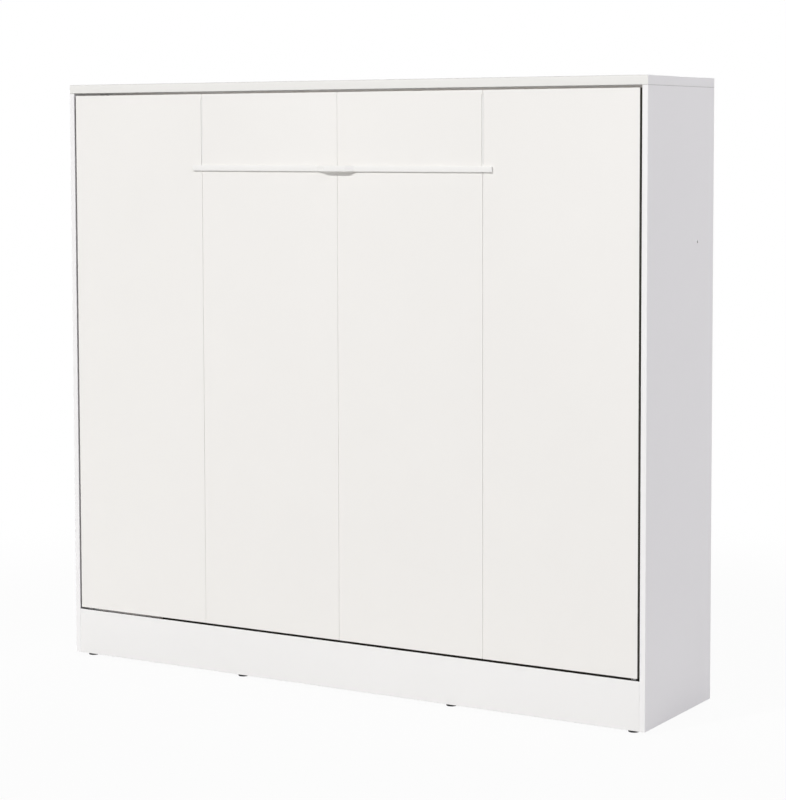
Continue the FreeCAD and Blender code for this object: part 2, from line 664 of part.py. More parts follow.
def bed_frame():
    """Welded frame of three long tubes and two end tubes, with plugs in the upper tube's ends."""
    depth = (FRONT_T, TUBE_REAR)
    half = TUBE_W / 2
    long_tubes = (("frame_lower_tube", PIVOT_Z, FRAME_X), ("frame_upper_tube", UPPER_TUBE_Z, FRAME_X),
                  ("frame_centre_tube", CENTRE_TUBE_Z, END_TUBE_X))
    for node, z, half_length in long_tubes:
        add(node, tube((-half_length, half_length), depth, (z - half, z + half), X_AXIS))
    for name, sign in SIDES:
        heights = (PIVOT_Z + half, UPPER_TUBE_Z - half)
        add("frame_%s_tube" % name, tube((sign * END_TUBE_X, sign * FRAME_X), depth, heights, UPWARDS))
        inset = TUBE_WALL + HOLE_CLEAR
        body = block((sign * (FRAME_X - PLUG_L), sign * FRAME_X), (FRONT_T + inset, TUBE_REAR - inset),
                     (UPPER_TUBE_Z - half + inset, UPPER_TUBE_Z + half - inset))
        lip = block((sign * FRAME_X, sign * (FRAME_X + PLUG_LIP)), depth,
                    (UPPER_TUBE_Z - half, UPPER_TUBE_Z + half))
        add("tube_plugs", joined(body, lip))


def board_screws():
    """Long screws through the frame's long tubes, near each board's quarter lines and between the slats."""
    tip = FRONT_T - BOARD_SCREW_BITE
    length = TUBE_REAR - tip
    tubes = (("frame_lower_tube", PIVOT_Z), ("frame_centre_tube", CENTRE_TUBE_Z),
             ("frame_upper_tube", UPPER_TUBE_Z))
    beside_slat = CAP_W / 2 + BOARD_SCREW_CAP_GAP + BOARD_SCREW_HEAD_R
    for index in range(2 * BOARDS):
        quarter = (2 * index + 1 - 2 * BOARDS) * FRONT_X / (2 * BOARDS)
        slat_x = abs(quarter) // SLAT_PITCH * SLAT_PITCH
        x = math.copysign(slat_x + beside_slat, quarter)
        for tube_node, z in tubes:
            seat = at(x, TUBE_REAR, z)
            add("board_screws", screw(seat, REARWARDS, BOARD_SCREW_R, length,
                                      BOARD_SCREW_HEAD_R, BOARD_SCREW_HEAD_H))
            hole = screw_hole(seat, REARWARDS, BOARD_SCREW_R, length)
            drill(tube_node, hole)
            drill(front_board_at(x), hole)


def slat(x, heights):
    """Sprung slat, bowed towards the mattress: its side view lies between two arcs."""
    low, high = heights
    mid = (low + high) / 2
    left = x - SLAT_W / 2
    seat = TUBE_REAR + CAP_WALL + SLAT_SEAT_PLAY
    front_arc = Part.Arc(at(left, seat, low), at(left, seat + SLAT_RISE, mid), at(left, seat, high))
    rear = seat + SLAT_T
    rear_arc = Part.Arc(at(left, rear, high), at(left, rear + SLAT_RISE, mid), at(left, rear, low))
    ends = [Part.LineSegment(at(left, seat, high), at(left, rear, high)),
            Part.LineSegment(at(left, rear, low), at(left, seat, low))]
    outline = Part.Wire([front_arc.toShape(), ends[0].toShape(), rear_arc.toShape(), ends[1].toShape()])
    return Part.Face(outline).extrude(X_AXIS * SLAT_W)


def slat_cap(x, heights, pockets, peg_z, tube_node):
    """Plastic slat holder on a tube's rear face, with its pockets and the peg that holds it."""
    depth = (TUBE_REAR, TUBE_REAR + CAP_H)
    pocket_half = CAP_W / 2 - CAP_WALL
    body = block((x - CAP_W / 2, x + CAP_W / 2), depth, heights)
    pocket_depth = (TUBE_REAR + CAP_WALL, TUBE_REAR + CAP_WALL + POCKET_H)
    hollows = [block((x - pocket_half, x + pocket_half), pocket_depth, pocket) for pocket in pockets]
    peg_span = (TUBE_REAR - CAP_PEG_L, TUBE_REAR)
    drill(tube_node, bar_through(x, peg_span, peg_z, CAP_PEG_R + HOLE_CLEAR))
    return joined(body, bar_through(x, peg_span, peg_z, CAP_PEG_R)).cut(hollows)


def slats():
    """Two rows of slats between the three long tubes, with single caps outside and double ones inside."""
    low = FRAME_LOW + CAP_EDGE
    high = FRAME_TOP - CAP_EDGE
    centre_half = CAP_CENTRE_L / 2
    centre_wall = CAP_WALL / 2
    lower_ends = (low + CAP_WALL + SLAT_END_PLAY, CENTRE_TUBE_Z - centre_wall - SLAT_END_PLAY)
    upper_ends = (CENTRE_TUBE_Z + centre_wall + SLAT_END_PLAY, high - CAP_WALL - SLAT_END_PLAY)
    for index in range(SLATS):
        x = (index - (SLATS - 1) / 2) * SLAT_PITCH
        add("lower_slats", slat(x, lower_ends))
        add("upper_slats", slat(x, upper_ends))
        low_pocket = (low + CAP_WALL, low + CAP_L)
        high_pocket = (high - CAP_L, high - CAP_WALL)
        add("slat_end_caps",
            slat_cap(x, (low, low + CAP_L), [low_pocket], PIVOT_Z, "frame_lower_tube"),
            slat_cap(x, (high - CAP_L, high), [high_pocket], UPPER_TUBE_Z, "frame_upper_tube"))
        centre = (CENTRE_TUBE_Z - centre_half, CENTRE_TUBE_Z + centre_half)
        pockets = [(centre[0], CENTRE_TUBE_Z - centre_wall), (CENTRE_TUBE_Z + centre_wall, centre[1])]
        add("slat_centre_caps", slat_cap(x, centre, pockets, CENTRE_TUBE_Z, "frame_centre_tube"))


def mattress_bows():
    """Round steel bows that keep the mattress from sliding, two on the lower and two on the upper tube."""
    rows = (("frame_lower_tube", FRAME_LOW + BOW_R + BOW_EDGE),
            ("frame_upper_tube", FRAME_TOP - BOW_R - BOW_EDGE))
    start = TUBE_REAR - BOW_SOCKET
    end = TUBE_REAR + BOW_REACH
    bend = BOW_BEND_R
    cut_back = bend * math.sqrt(0.5)
    for node, z in rows:
        for sign in (-1, 1):
            left = sign * BOW_SLAT * SLAT_PITCH - SLAT_PITCH / 2
            right = left + SLAT_PITCH
            left_mid = at(left + bend - cut_back, end - bend + cut_back, z)
            right_mid = at(right - bend + cut_back, end - bend + cut_back, z)
            runs = [Part.LineSegment(at(left, start, z), at(left, end - bend, z)),
                    Part.Arc(at(left, end - bend, z), left_mid, at(left + bend, end, z)),
                    Part.LineSegment(at(left + bend, end, z), at(right - bend, end, z)),
                    Part.Arc(at(right - bend, end, z), right_mid, at(right, end - bend, z)),
                    Part.LineSegment(at(right, end - bend, z), at(right, start, z))]
            path = Part.Wire([run.toShape() for run in runs])
            section = Part.Wire(Part.makeCircle(BOW_R, at(left, start, z), REARWARDS))
            add("mattress_bows", path.makePipeShell([section], True, False))
            for x in (left, right):
                drill(node, bar_through(x, (start, TUBE_REAR), z, BOW_R + HOLE_CLEAR))


def mattress_straps():
    """Webbing straps across the slats, screwed to the lower and upper tubes, each with a buckle."""
    depth = (TUBE_REAR, TUBE_REAR + STRAP_T)
    half = STRAP_W / 2
    ends = (PIVOT_Z, UPPER_TUBE_Z)
    for sign in (-1, 1):
        x = sign * STRAP_GAP_INDEX * SLAT_PITCH
        strap = block((x - half, x + half), depth, (ends[0] - STRAP_END, ends[1] + STRAP_END))
        for node, z in (("frame_lower_tube", ends[0]), ("frame_upper_tube", ends[1])):
            seat = at(x, depth[1], z)
            hole = screw_hole(seat, REARWARDS, BOARD_SCREW_R, STRAP_SCREW_L)
            add("strap_screws", screw(seat, REARWARDS, BOARD_SCREW_R, STRAP_SCREW_L,
                                      STRAP_SCREW_HEAD_R, BOARD_SCREW_HEAD_H))
            strap = strap.cut(hole)
            drill(node, hole)
        add("mattress_straps", strap)
        buckle_z = CENTRE_TUBE_Z + BUCKLE_RISE
        reach = BUCKLE_PLAY + BUCKLE_WALL
        around = block((x - half - reach, x + half + reach), (depth[0] - reach, depth[1] + reach),
                       (buckle_z, buckle_z + BUCKLE_L))
        passage = block((x - half - BUCKLE_PLAY, x + half + BUCKLE_PLAY),
                        (depth[0] - BUCKLE_PLAY, depth[1] + BUCKLE_PLAY), (buckle_z, buckle_z + BUCKLE_L))
        add("strap_buckles", around.cut(passage))


def leg_hinges():
    """Hat-shaped brackets behind the front that hold the folding leg's pins."""
    ear_in = ARM_T / 2 + HINGE_PLAY
    ear_out = ear_in + HINGE_T
    flange_end = ear_out + HINGE_FLANGE
    web = LEG_AXIS_DEPTH + ARM_EYE_R + HINGE_WEB_PLAY
    flange_rear = FRONT_T + HINGE_T
    hat = [(-flange_end, FRONT_T), (-flange_end, flange_rear), (-ear_out, flange_rear),
           (-ear_out, web + HINGE_T), (ear_out, web + HINGE_T), (ear_out, flange_rear),
           (flange_end, flange_rear), (flange_end, FRONT_T), (ear_in, FRONT_T),
           (ear_in, web), (-ear_in, web), (-ear_in, FRONT_T)]
    screw_x = (ear_out + flange_end) / 2
    screw_heights = (LEG_AXIS_Z - HINGE_BELOW / 2, LEG_AXIS_Z + HINGE_ABOVE - HINGE_BELOW / 2)
    for sign in (-1, 1):
        middle = sign * SLOT_X
        bracket = plan_profile([(middle + x, depth) for x, depth in hat],
                               (LEG_AXIS_Z - HINGE_BELOW, LEG_AXIS_Z + HINGE_ABOVE))
        ears = (middle - ear_out, middle + ear_out)
        holes = [bar_x(ears, LEG_AXIS_DEPTH, LEG_AXIS_Z, LEG_PIN_R + RUNNING_CLEAR)]
        for offset in (-screw_x, screw_x):
            for z in screw_heights:
                seat = at(middle + offset, flange_rear, z)
                hole = screw_hole(seat, REARWARDS, SCREW_R, HINGE_SCREW_L)
                add("leg_hinge_screws", screw(seat, REARWARDS, SCREW_R, HINGE_SCREW_L,
                                              SCREW_HEAD_R, SCREW_HEAD_H))
                holes.append(hole)
                drill(front_board_at(middle + offset), hole)
        add("leg_hinge_brackets", bracket.cut(holes))
        add("leg_hinge_pins", bar_x(ears, LEG_AXIS_DEPTH, LEG_AXIS_Z, LEG_PIN_R))


def folding_leg():
    """Flat-steel leg: two arms in the slots of the front and a cross bar bowed out into a grip."""
    end = SLOT_X + BAR_OVERHANG
    flat = GRIP_FLAT / 2
    foot = flat + GRIP_RAMP
    # On a bend, the rear line of the bar is shifted by the bar's thickness times tan(half the bend)
    shift = BAR_T * math.tan(math.atan2(GRIP_OUT, GRIP_RAMP) / 2)
    front_line = [(-end, BAR_FRONT), (-foot, BAR_FRONT), (-flat, BAR_FRONT - GRIP_OUT),
                  (flat, BAR_FRONT - GRIP_OUT), (foot, BAR_FRONT), (end, BAR_FRONT)]
    rear_line = [(end, -BAR_GAP), (foot - shift, -BAR_GAP), (flat - shift, -BAR_GAP - GRIP_OUT),
                 (-flat + shift, -BAR_GAP - GRIP_OUT), (-foot + shift, -BAR_GAP), (-end, -BAR_GAP)]
    add("leg_bar", plan_profile(front_line + rear_line, (BAR_LOW, BAR_TOP)))
    arm_rear = ARM_INSET + ARM_W
    nose_rear = ARM_INSET + NOSE_T
    nose_top = LEG_AXIS_Z + NOSE_RISE
    # The nose above the eye fills the slot while the leg is folded
    outline = [(arm_rear, BAR_LOW), (-BAR_GAP, BAR_LOW), (-BAR_GAP, BAR_TOP), (ARM_INSET, BAR_TOP),
               (ARM_INSET, nose_top), (nose_rear, nose_top), (nose_rear, LEG_AXIS_Z + NOSE_FOOT),
               (LEG_AXIS_DEPTH, LEG_AXIS_Z + ARM_EYE_R), (LEG_AXIS_DEPTH, LEG_AXIS_Z - ARM_EYE_R),
               (arm_rear, LEG_AXIS_Z - ARM_SHOULDER)]
    for name, sign in SIDES:
        span = (sign * SLOT_X - ARM_T / 2, sign * SLOT_X + ARM_T / 2)
        arm = joined(side_profile(outline, span), bar_x(span, LEG_AXIS_DEPTH, LEG_AXIS_Z, ARM_EYE_R))
        hole = bar_x(span, LEG_AXIS_DEPTH, LEG_AXIS_Z, LEG_PIN_R + RUNNING_CLEAR)
        add(name + "_leg_arm", arm.cut(hole))


def write_parts():
    """Take the drilled shapes out of each node and write it to its own file."""
    os.makedirs("parts", exist_ok=True)
    for node, solids in pieces.items():
        finished = []
        for solid in solids:
            shape = solid.cut(cutters[node]) if node in cutters else solid
            finished.extend(shape.Solids)
        valid = all(solid.isValid() for solid in finished)
        whole = finished[0] if len(finished) == 1 else Part.makeCompound(finished)
        whole.exportStep("parts/%s.step" % node)
        print("%-22s %3d solids, valid %s, %.1f cm3" % (node, len(finished), valid, whole.Volume / 1000))
    print("%d nodes" % len(pieces))


carcass()
rear_feet()
front_feet()
corner_brackets()
front_stops()
pivot_plates()
levers()
gas_struts()
front_boards()
bed_frame()
board_screws()
slats()
mattress_bows()
mattress_straps()
leg_hinges()
folding_leg()
write_parts()
print("width %.1f, height %.1f, pivot depth %.1f height %.1f, anchor depth %.2f height %.2f" % (
    2 * OUTER_X, HEIGHT, PIVOT_DEPTH, PIVOT_Z, ANCHOR_DEPTH, ANCHOR_Z))
print("strut %.1f long, %.1f short, cylinder %.1f, rod %.1f, leg axis %.1f, bar low %.1f" % (
    STRUT_LONG, STRUT_SHORT, CYLINDER_L, ROD_L, LEG_AXIS_Z, BAR_LOW))
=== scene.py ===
"""Looks of a horizontal wall bed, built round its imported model.

Metres, +Z up. The front faces -Y and the origin is on the floor, in the middle of the overall box.
"""
import math

import bmesh
import bpy
import numpy as np
from bpy.props import FloatProperty, FloatVectorProperty, PointerProperty
from mathutils import Matrix, Vector


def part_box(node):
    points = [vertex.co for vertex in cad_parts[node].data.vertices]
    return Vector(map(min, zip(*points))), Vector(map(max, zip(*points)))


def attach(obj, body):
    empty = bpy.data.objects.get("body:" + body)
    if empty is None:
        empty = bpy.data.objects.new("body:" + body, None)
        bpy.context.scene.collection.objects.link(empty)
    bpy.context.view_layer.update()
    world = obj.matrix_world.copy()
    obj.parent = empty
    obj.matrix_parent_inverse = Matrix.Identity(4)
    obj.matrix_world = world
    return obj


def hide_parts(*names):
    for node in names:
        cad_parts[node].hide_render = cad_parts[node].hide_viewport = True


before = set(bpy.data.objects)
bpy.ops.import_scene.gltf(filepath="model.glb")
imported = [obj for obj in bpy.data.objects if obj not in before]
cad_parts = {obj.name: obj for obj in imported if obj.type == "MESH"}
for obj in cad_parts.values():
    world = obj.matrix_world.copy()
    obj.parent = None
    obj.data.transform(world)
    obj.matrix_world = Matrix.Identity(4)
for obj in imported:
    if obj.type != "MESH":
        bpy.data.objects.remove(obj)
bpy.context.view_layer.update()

bl_info = {
    "name": "Wall bed looks",
    "version": (1, 0, 0),
    "blender": (4, 5, 0),
    "location": "View3D > Sidebar > Wall bed",
    "description": "Finishes and fine pieces of a horizontal wall bed",
    "category": "Object",
}

MM = 0.001
SMOOTH_BELOW = math.radians(35)
MERGE = 1e-6
BAND = 2 * MM
FACING = 0.7
WHITE = (1, 1, 1, 1)
FRONT_BOARDS = ("front_board_1", "front_board_2", "front_board_3", "front_board_4")


def linear(hex_colour):
    """sRGB hex colour as linear red, green and blue."""
    srgb = np.array([int(hex_colour[i:i + 2], 16) for i in (1, 3, 5)]) / 255
    return tuple(np.where(srgb <= 0.04045, srgb / 12.92, ((srgb + 0.055) / 1.055) ** 2.4))


def colour(name, description, hex_colour):
    """Colour property whose default is a hex colour."""
    return FloatVectorProperty(name=name, description=description, subtype="COLOR", size=3, min=0, max=1,
                               default=linear(hex_colour))


def length(name, description, millimetres):
    """Length property whose default is given in millimetres."""
    return FloatProperty(name=name, description=description, unit="LENGTH", default=millimetres * MM)


def angle(name, description, degrees):
    """Angle property whose default is given in degrees."""
    return FloatProperty(name=name, description=description, subtype="ANGLE", default=math.radians(degrees))


def number(name, description, value):
    """Plain number property."""
    return FloatProperty(name=name, description=description, default=value)


class WallBedColours(bpy.types.PropertyGroup):
    """Colours of the wall bed's finishes."""
    carcass: colour("Carcass", "White laminate of the cabinet", "#F1F0EF")
    plinth: colour("Plinth", "White laminate of the plinth", "#EEEDEB")
    top_edge: colour("Top edge", "Edge band along the front of the top board", "#E9E8E4")
    front: colour("Front", "Warm white laminate of the front boards", "#EFEDE9")
    # Painted shade: near-black on the plinth's top, which darkens the gap under the front
    edge: colour("Edge band", "Dark edge band along the plinth, in the gap under the front", "#191814")
    # Painted shade: grey on the front boards' outer edges, which darkens the gap round the front
    painted_front_gap_shade: colour("Front edge", "Grey edge band round the front", "#57554F")
    # Painted shade: near-black on the rear rail's front, seen through the gap behind the plinth
    backing: colour("Backing", "Dark backing paper inside the rear rail", "#3A3834")
    # Painted shade: grey lines where the sides carry the top and along the top's upper front corner
    joint: colour("Joint", "Glue line where the sides carry the top", "#8C8A86")
    leg: colour("Leg", "White powder coat of the handle bar and its arms", "#EFEEEB")
    frame_coat: colour("Frame", "Grey powder coat of the bed frame", "#8E9194")
    zinc: colour("Zinc", "Zinc plate of brackets, pins and screws", "#C6C8C9")
    strut: colour("Strut", "Black paint of the gas struts", "#17181A")
    chrome: colour("Chrome", "Hard chrome of the strut rods", "#DADBDD")
    slat: colour("Slats", "Lacquered birch", "#E0C296")
    slat_grain: colour("Slat grain", "Darker grain lines of the birch", "#B98D59")
    plastic: colour("Plastic", "Black moulded plastic", "#1B1C1E")
    nylon: colour("Nylon", "Natural nylon of the bushes", "#E4E1D6")
    rubber: colour("Rubber", "Black rubber of the stop pads", "#202122")
    webbing: colour("Webbing", "Woven mattress straps", "#3A3D42")
    thread: colour("Thread", "Stitches of the straps", "#9A9DA1")


class WallBedSizes(bpy.types.PropertyGroup):
    """Sizes of the fine pieces that the solids leave plain."""
    slat_thickness: length("Slat thickness", "Thickness of a slat", 8)
    slat_edge: length("Slat edge", "Rounding along a slat", 2.4)
    cap_wall: length("Cap wall", "Wall of a slat cap", 3)
    cap_edge: length("Cap edge", "Rounding of a slat cap", 2.2)
    cap_lip: length("Cap lip", "Rounding of the mouth of a slat cap", 0.8)
    cap_groove: length("Cap groove", "Depth of the moulded grooves round a slat cap", 1.0)
    peg_radius: length("Peg radius", "Radius of the peg that holds a slat cap", 4)
    strap_edge: length("Strap edge", "Rounding along a strap", 0.7)
    strap_slack: length("Strap slack", "How far a strap stands off between its tubes", 2.0)
    stitch: length("Stitch", "Length of a stitch", 4)
    thread: length("Thread", "Thickness of the stitching thread", 0.9)
    buckle_edge: length("Buckle edge", "Rounding of a buckle", 1.8)
    buckle_wall: length("Buckle wall", "Wall of a buckle", 2.5)
    buckle_rib: length("Buckle rib", "Depth of the hollows between a buckle's ribs", 0.9)
    bar_thickness: length("Bar thickness", "Thickness of the handle bar", 5)
    bar_edge: length("Bar edge", "Rounding along the handle bar", 0.8)
    bar_bend: length("Bar bend", "Half the length of a bend in the handle bar", 5)
    grip_flat: length("Grip flat", "Straight middle of the grip", 78)
    grip_ramp: length("Grip ramp", "Length of each slope beside the grip", 28)
    foot_edge: length("Foot edge", "Rounding of a foot", 1.5)
    foot_taper: length("Foot taper", "How much narrower a foot is at the floor", 1)
    weld: length("Weld", "Radius of a weld bead", 3.2)


class WallBedStage(bpy.types.PropertyGroup):
    """Camera, light and floor."""
    camera_place: FloatVectorProperty(name="Camera", description="Place of the camera", subtype="TRANSLATION",
                                      unit="LENGTH", default=(3.8533, -6.2785, 1.7474))
    yaw: angle("Yaw", "How far the camera looks to the left of straight ahead", 31.115)
    pitch: angle("Pitch", "How far the camera looks down", 4.010)
    roll: angle("Roll", "Tilt of the camera", -0.1557)
    lens: number("Lens", "Focal length in millimetres", 103.305)
    shift: number("Shift", "Vertical lens shift", -0.125)
    key_turn: angle("Key turn", "How far the key light stands to the right of the front", -24)
    key_height: angle("Key height", "Height of the key light above the horizon", 31)
    key_size: angle("Key size", "Apparent width of the key light", 4)
    key_power: number("Key power", "Strength of the key light", 2.20)
    key_colour: colour("Key colour", "Tint of the key light", "#FFFFFF")
    fill_turn: angle("Fill turn", "How far the fill light stands to the right of the front", 74)
    fill_height: angle("Fill height", "Height of the fill light above the horizon", 20)
    fill_size: angle("Fill size", "Apparent width of the fill light", 70)
    fill_power: number("Fill power", "Strength of the fill light", 1.67)
    fill_colour: colour("Fill colour", "Cool tint of the fill light", "#F8F6FF")
    back_turn: angle("Back turn", "How far the back light stands to the right of the front", 205)
    back_height: angle("Back height", "Height of the back light above the horizon", 35)
    back_size: angle("Back size", "Apparent width of the back light", 60)
    back_power: number("Back power", "Strength of the back light", 1.8)
    back_colour: colour("Back colour", "Tint of the back light", "#FFFFFF")
    sky_power: number("Sky power", "Strength of the soft light all round", 0.12)
    floor_colour: colour("Floor", "Pale floor", "#C6C6C4")
    floor_white: number("Floor white", "How far the floor is washed out to white", 0.95)
    floor_near: length("Floor near", "How far from the middle the floor keeps the object's shadow", 1600)
    floor_clear: length("Floor clear", "How far from the object the floor is plain white", 3500)
    floor_half: length("Floor reach", "Half the floor's width", 60000)


def add_node(tree, kind, inputs=None, **settings):
    """Adds a shader node with its settings.

    An input that is a socket or a node is linked, a node by its first output in use. Any other is a value.
    """
    made = tree.nodes.new("ShaderNode" + kind)
    for name, value in settings.items():
        setattr(made, name, value)
    for socket, value in (inputs or {}).items():
        if isinstance(value, bpy.types.Node):
            value = next(output for output in value.outputs if output.enabled)
        if isinstance(value, bpy.types.NodeSocket):
            tree.links.new(value, made.inputs[socket])
        else:
            made.inputs[socket].default_value = value
    return made


def empty_tree(owner):
    """Empty node tree of a new material or world."""
    owner.use_nodes = True
    owner.node_tree.nodes.clear()
    return owner.node_tree


def close_tree(tree, inputs):
    """Ends a material's tree in one principled shader."""
    shader = add_node(tree, "BsdfPrincipled", inputs)
    add_node(tree, "OutputMaterial", {"Surface": shader})


def shade(rgb, factor=1.0):
    """A colour made lighter or darker, with full alpha."""
    return (*np.clip(np.array(rgb) * factor, 0, 1), 1.0)


def grained(name, dark, light, tone, gloss, relief=None, **inputs):
    """Material whose colour, roughness and relief each follow a noise.

    tone holds the noise's grain size and detail, gloss after them the least and the most roughness, and
    relief the strength and the depth of the bumps.
    """
    material = bpy.data.materials.new(name)
    tree = empty_tree(material)
    place = add_node(tree, "TexCoord").outputs["Object"]
    grains = dict.fromkeys(layer[:2] for layer in (tone, gloss, relief) if layer)
    noise = {grain: add_node(tree, "TexNoise", {"Vector": place, "Scale": 1 / grain[0], "Detail": grain[1]})
             for grain in grains}
    inputs["Base Color"] = add_node(tree, "Mix", {"Factor": noise[tone], "A": dark, "B": light},
                                    data_type="RGBA")
    inputs["Roughness"] = add_node(tree, "MapRange", {"Value": noise[gloss[:2]], "To Min": gloss[2],
                                                      "To Max": gloss[3]})
    if relief:
        inputs["Normal"] = add_node(tree, "Bump", {"Height": noise[relief[:2]], "Strength": relief[2],
                                                   "Distance": relief[3]})
    close_tree(tree, inputs)
    return material


def melamine_laminate(name, rgb):
    """Melamine paper pressed on board: even colour, a faint pebble from the press plate, satin gloss."""
    # The pebble is about 0.5 mm on the board and is drawn 2.5 mm wide so that it can show
    cloud, pebble = (350 * MM, 3.0), (2.5 * MM, 2.0)
    return grained(name, shade(rgb, 0.985), shade(rgb, 1.012), cloud, (*pebble, 0.40, 0.50),
                   (*pebble, 0.12, 0.05 * MM))


def powder_coat(name, rgb, roughness):
    """Powder baked on steel: a fine orange peel, a little lighter and darker from grain to grain."""
    speck, peel = (1.2 * MM, 0.0), (2.2 * MM, 1.0)
    return grained(name, shade(rgb, 0.95), shade(rgb, 1.05), speck,
                   (*peel, roughness - 0.06, roughness + 0.06), (*peel, 0.25, 0.08 * MM))


def zinc_plate(name, rgb):
    """Bright zinc on steel: a cool metal with cloudy gloss, tinted yellow and blue by its passivation."""
    cloud, grain = (12 * MM, 4.0), (1.1 * MM, 1.0)
    bluish, yellowish = np.array(rgb) * (0.94, 0.97, 1.0), np.array(rgb) * (1.0, 0.99, 0.95)
    return grained(name, shade(bluish, 0.92), shade(yellowish, 1.04), cloud, (*cloud, 0.24, 0.44),
                   (*grain, 0.15, 0.03 * MM), Metallic=1.0)


def hard_chrome(name, rgb):
    """Ground and chromed rod: a near mirror with fine grinding marks."""
    mark = (0.8 * MM, 2.0)
    return grained(name, shade(rgb, 0.95), shade(rgb), mark, (*mark, 0.06, 0.14), Metallic=1.0)


def moulded_polymer(name, rgb, grain_size, roughness, specular=0.5):
    """Moulded plastic, rubber or thick paint: the eroded grain of its mould over an even colour."""
    grain = (grain_size, 2.0)
    return grained(name, shade(rgb, 0.85), shade(rgb, 1.2), grain,
                   (*grain, roughness - 0.08, roughness + 0.08), (*grain, 0.3, 0.1 * MM),
                   **{"Specular IOR Level": specular})


def lacquered_birch(name, rgb, grain_rgb):
    """Birch veneers glued in layers, sanded and lacquered: long grain, with glue lines along the edges.

    The attribute lie holds the place across a slat, through its thickness and along it.
    """
    material = bpy.data.materials.new(name)
    tree = empty_tree(material)
    veneer, glue_share, figure_share = 1.6 * MM, 0.16, 0.45
    lie = add_node(tree, "Attribute", attribute_name="lie").outputs["Vector"]
    noises = []
    # Birch grain is finer than 1 mm and is drawn 4 mm wide so that it shows. The figure is wider and longer.
    for wide, long, detail, distortion in ((4 * MM, 260 * MM, 4.0, 0.5), (22 * MM, 700 * MM, 2.0, 1.2)):
        drawn_out = add_node(tree, "Mapping", {"Vector": lie, "Scale": (1 / wide, 1 / wide, 1 / long)})
        noises.append(add_node(tree, "TexNoise", {"Vector": drawn_out, "Scale": 1.0, "Detail": detail,
                                                  "Distortion": distortion}))
    grain, figure = noises
    drawn = add_node(tree, "Mix", {"Factor": figure_share, "A": grain, "B": figure}, data_type="FLOAT")
    contrast = add_node(tree, "MapRange", {"Value": drawn, "From Min": 0.32, "From Max": 0.62})
    wood = add_node(tree, "Mix", {"Factor": contrast, "A": shade(grain_rgb), "B": shade(rgb, 1.05)},
                    data_type="RGBA")
    through = add_node(tree, "SeparateXYZ", {"Vector": lie}).outputs["Y"]
    layer = add_node(tree, "Math", {0: through, 1: 1 / veneer, 2: 0.5}, operation="MULTIPLY_ADD")
    within = add_node(tree, "Math", {0: layer}, operation="FRACT")
    glue = add_node(tree, "Math", {0: within, 1: glue_share}, operation="LESS_THAN")
    tone = add_node(tree, "Mix", {"Factor": glue, "A": wood, "B": shade(grain_rgb, 0.45)}, data_type="RGBA")
    gloss = add_node(tree, "MapRange", {"Value": grain, "To Min": 0.32, "To Max": 0.46})
    bump = add_node(tree, "Bump", {"Height": grain, "Strength": 0.2, "Distance": 0.1 * MM})
    close_tree(tree, {"Base Color": tone, "Roughness": gloss, "Normal": bump})
    return material


def woven_webbing(name, rgb):
    """Flat polyester webbing in a herringbone: ribs that slant one way, then the other, across the strap.

    The attribute lie holds the place across a strap, through its thickness and along it.
    """
    material = bpy.data.materials.new(name)
    tree = empty_tree(material)
    # The ribs are about 1.5 mm apart and are drawn 4 mm apart so that they show
    rib, slant, fuzz_size, fuzz_share = 4 * MM, 10 * MM, 0.8 * MM, 0.3
    lie = add_node(tree, "Attribute", attribute_name="lie").outputs["Vector"]
    place = add_node(tree, "SeparateXYZ", {"Vector": lie}).outputs
    zigzag = add_node(tree, "Math", {0: place["X"], 1: slant}, operation="PINGPONG")
    along = add_node(tree, "Math", {0: place["Z"], 1: zigzag}, operation="ADD")
    turn = add_node(tree, "Math", {0: along, 1: 2 * math.pi / rib}, operation="MULTIPLY")
    wave = add_node(tree, "Math", {0: turn}, operation="SINE")
    height = add_node(tree, "MapRange", {"Value": wave, "From Min": -1.0})
    coords = add_node(tree, "TexCoord").outputs["Object"]
    fuzz = add_node(tree, "TexNoise", {"Vector": coords, "Scale": 1 / fuzz_size, "Detail": 1.0})
    weave = add_node(tree, "Mix", {"Factor": fuzz_share, "A": height, "B": fuzz}, data_type="FLOAT")
    # Painted shade of the weave: the colour follows the ribs' height, darker in the hollows and lighter on
    # the crests, with a random fuzz
    tone = add_node(tree, "Mix", {"Factor": weave, "A": shade(rgb, 0.55), "B": shade(rgb, 1.45)},
                    data_type="RGBA")
    gloss = add_node(tree, "MapRange", {"Value": fuzz, "To Min": 0.65, "To Max": 0.85})
    bump = add_node(tree, "Bump", {"Height": height, "Strength": 0.6, "Distance": 0.3 * MM})
    close_tree(tree, {"Base Color": tone, "Roughness": gloss, "Normal": bump, "Sheen Weight": 0.25})
    return material


def coat(name, make, *values):
    """A finish by its name, made the first time that it is asked for."""
    return bpy.data.materials.get(name) or make(name, *values)


def black_plastic():
    return coat("moulded_black_polypropylene", moulded_polymer, hues().plastic, 1.0 * MM, 0.5)


def zinc():
    return coat("zinc_plated_steel", zinc_plate, hues().zinc)


def hues():
    return bpy.context.scene.wallbed_colours


def sizes():
    return bpy.context.scene.wallbed_sizes


def wear(material, *nodes):
    """Gives CAD nodes a material."""
    for name in nodes:
        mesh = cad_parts[name].data
        mesh.materials.clear()
        mesh.materials.append(material)


def merged(node):
    """Points and triangles of a CAD node, with the points at one place merged."""
    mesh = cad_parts[node].data
    points = np.empty(3 * len(mesh.vertices), np.float32)
    mesh.vertices.foreach_get("co", points)
    corners = np.empty(len(mesh.loops), np.int32)
    mesh.loops.foreach_get("vertex_index", corners)
    rounded = np.round(points.reshape(-1, 3).astype(float), 6)
    places, index = np.unique(rounded, axis=0, return_inverse=True)
    return places, index.ravel()[corners].reshape(-1, 3)


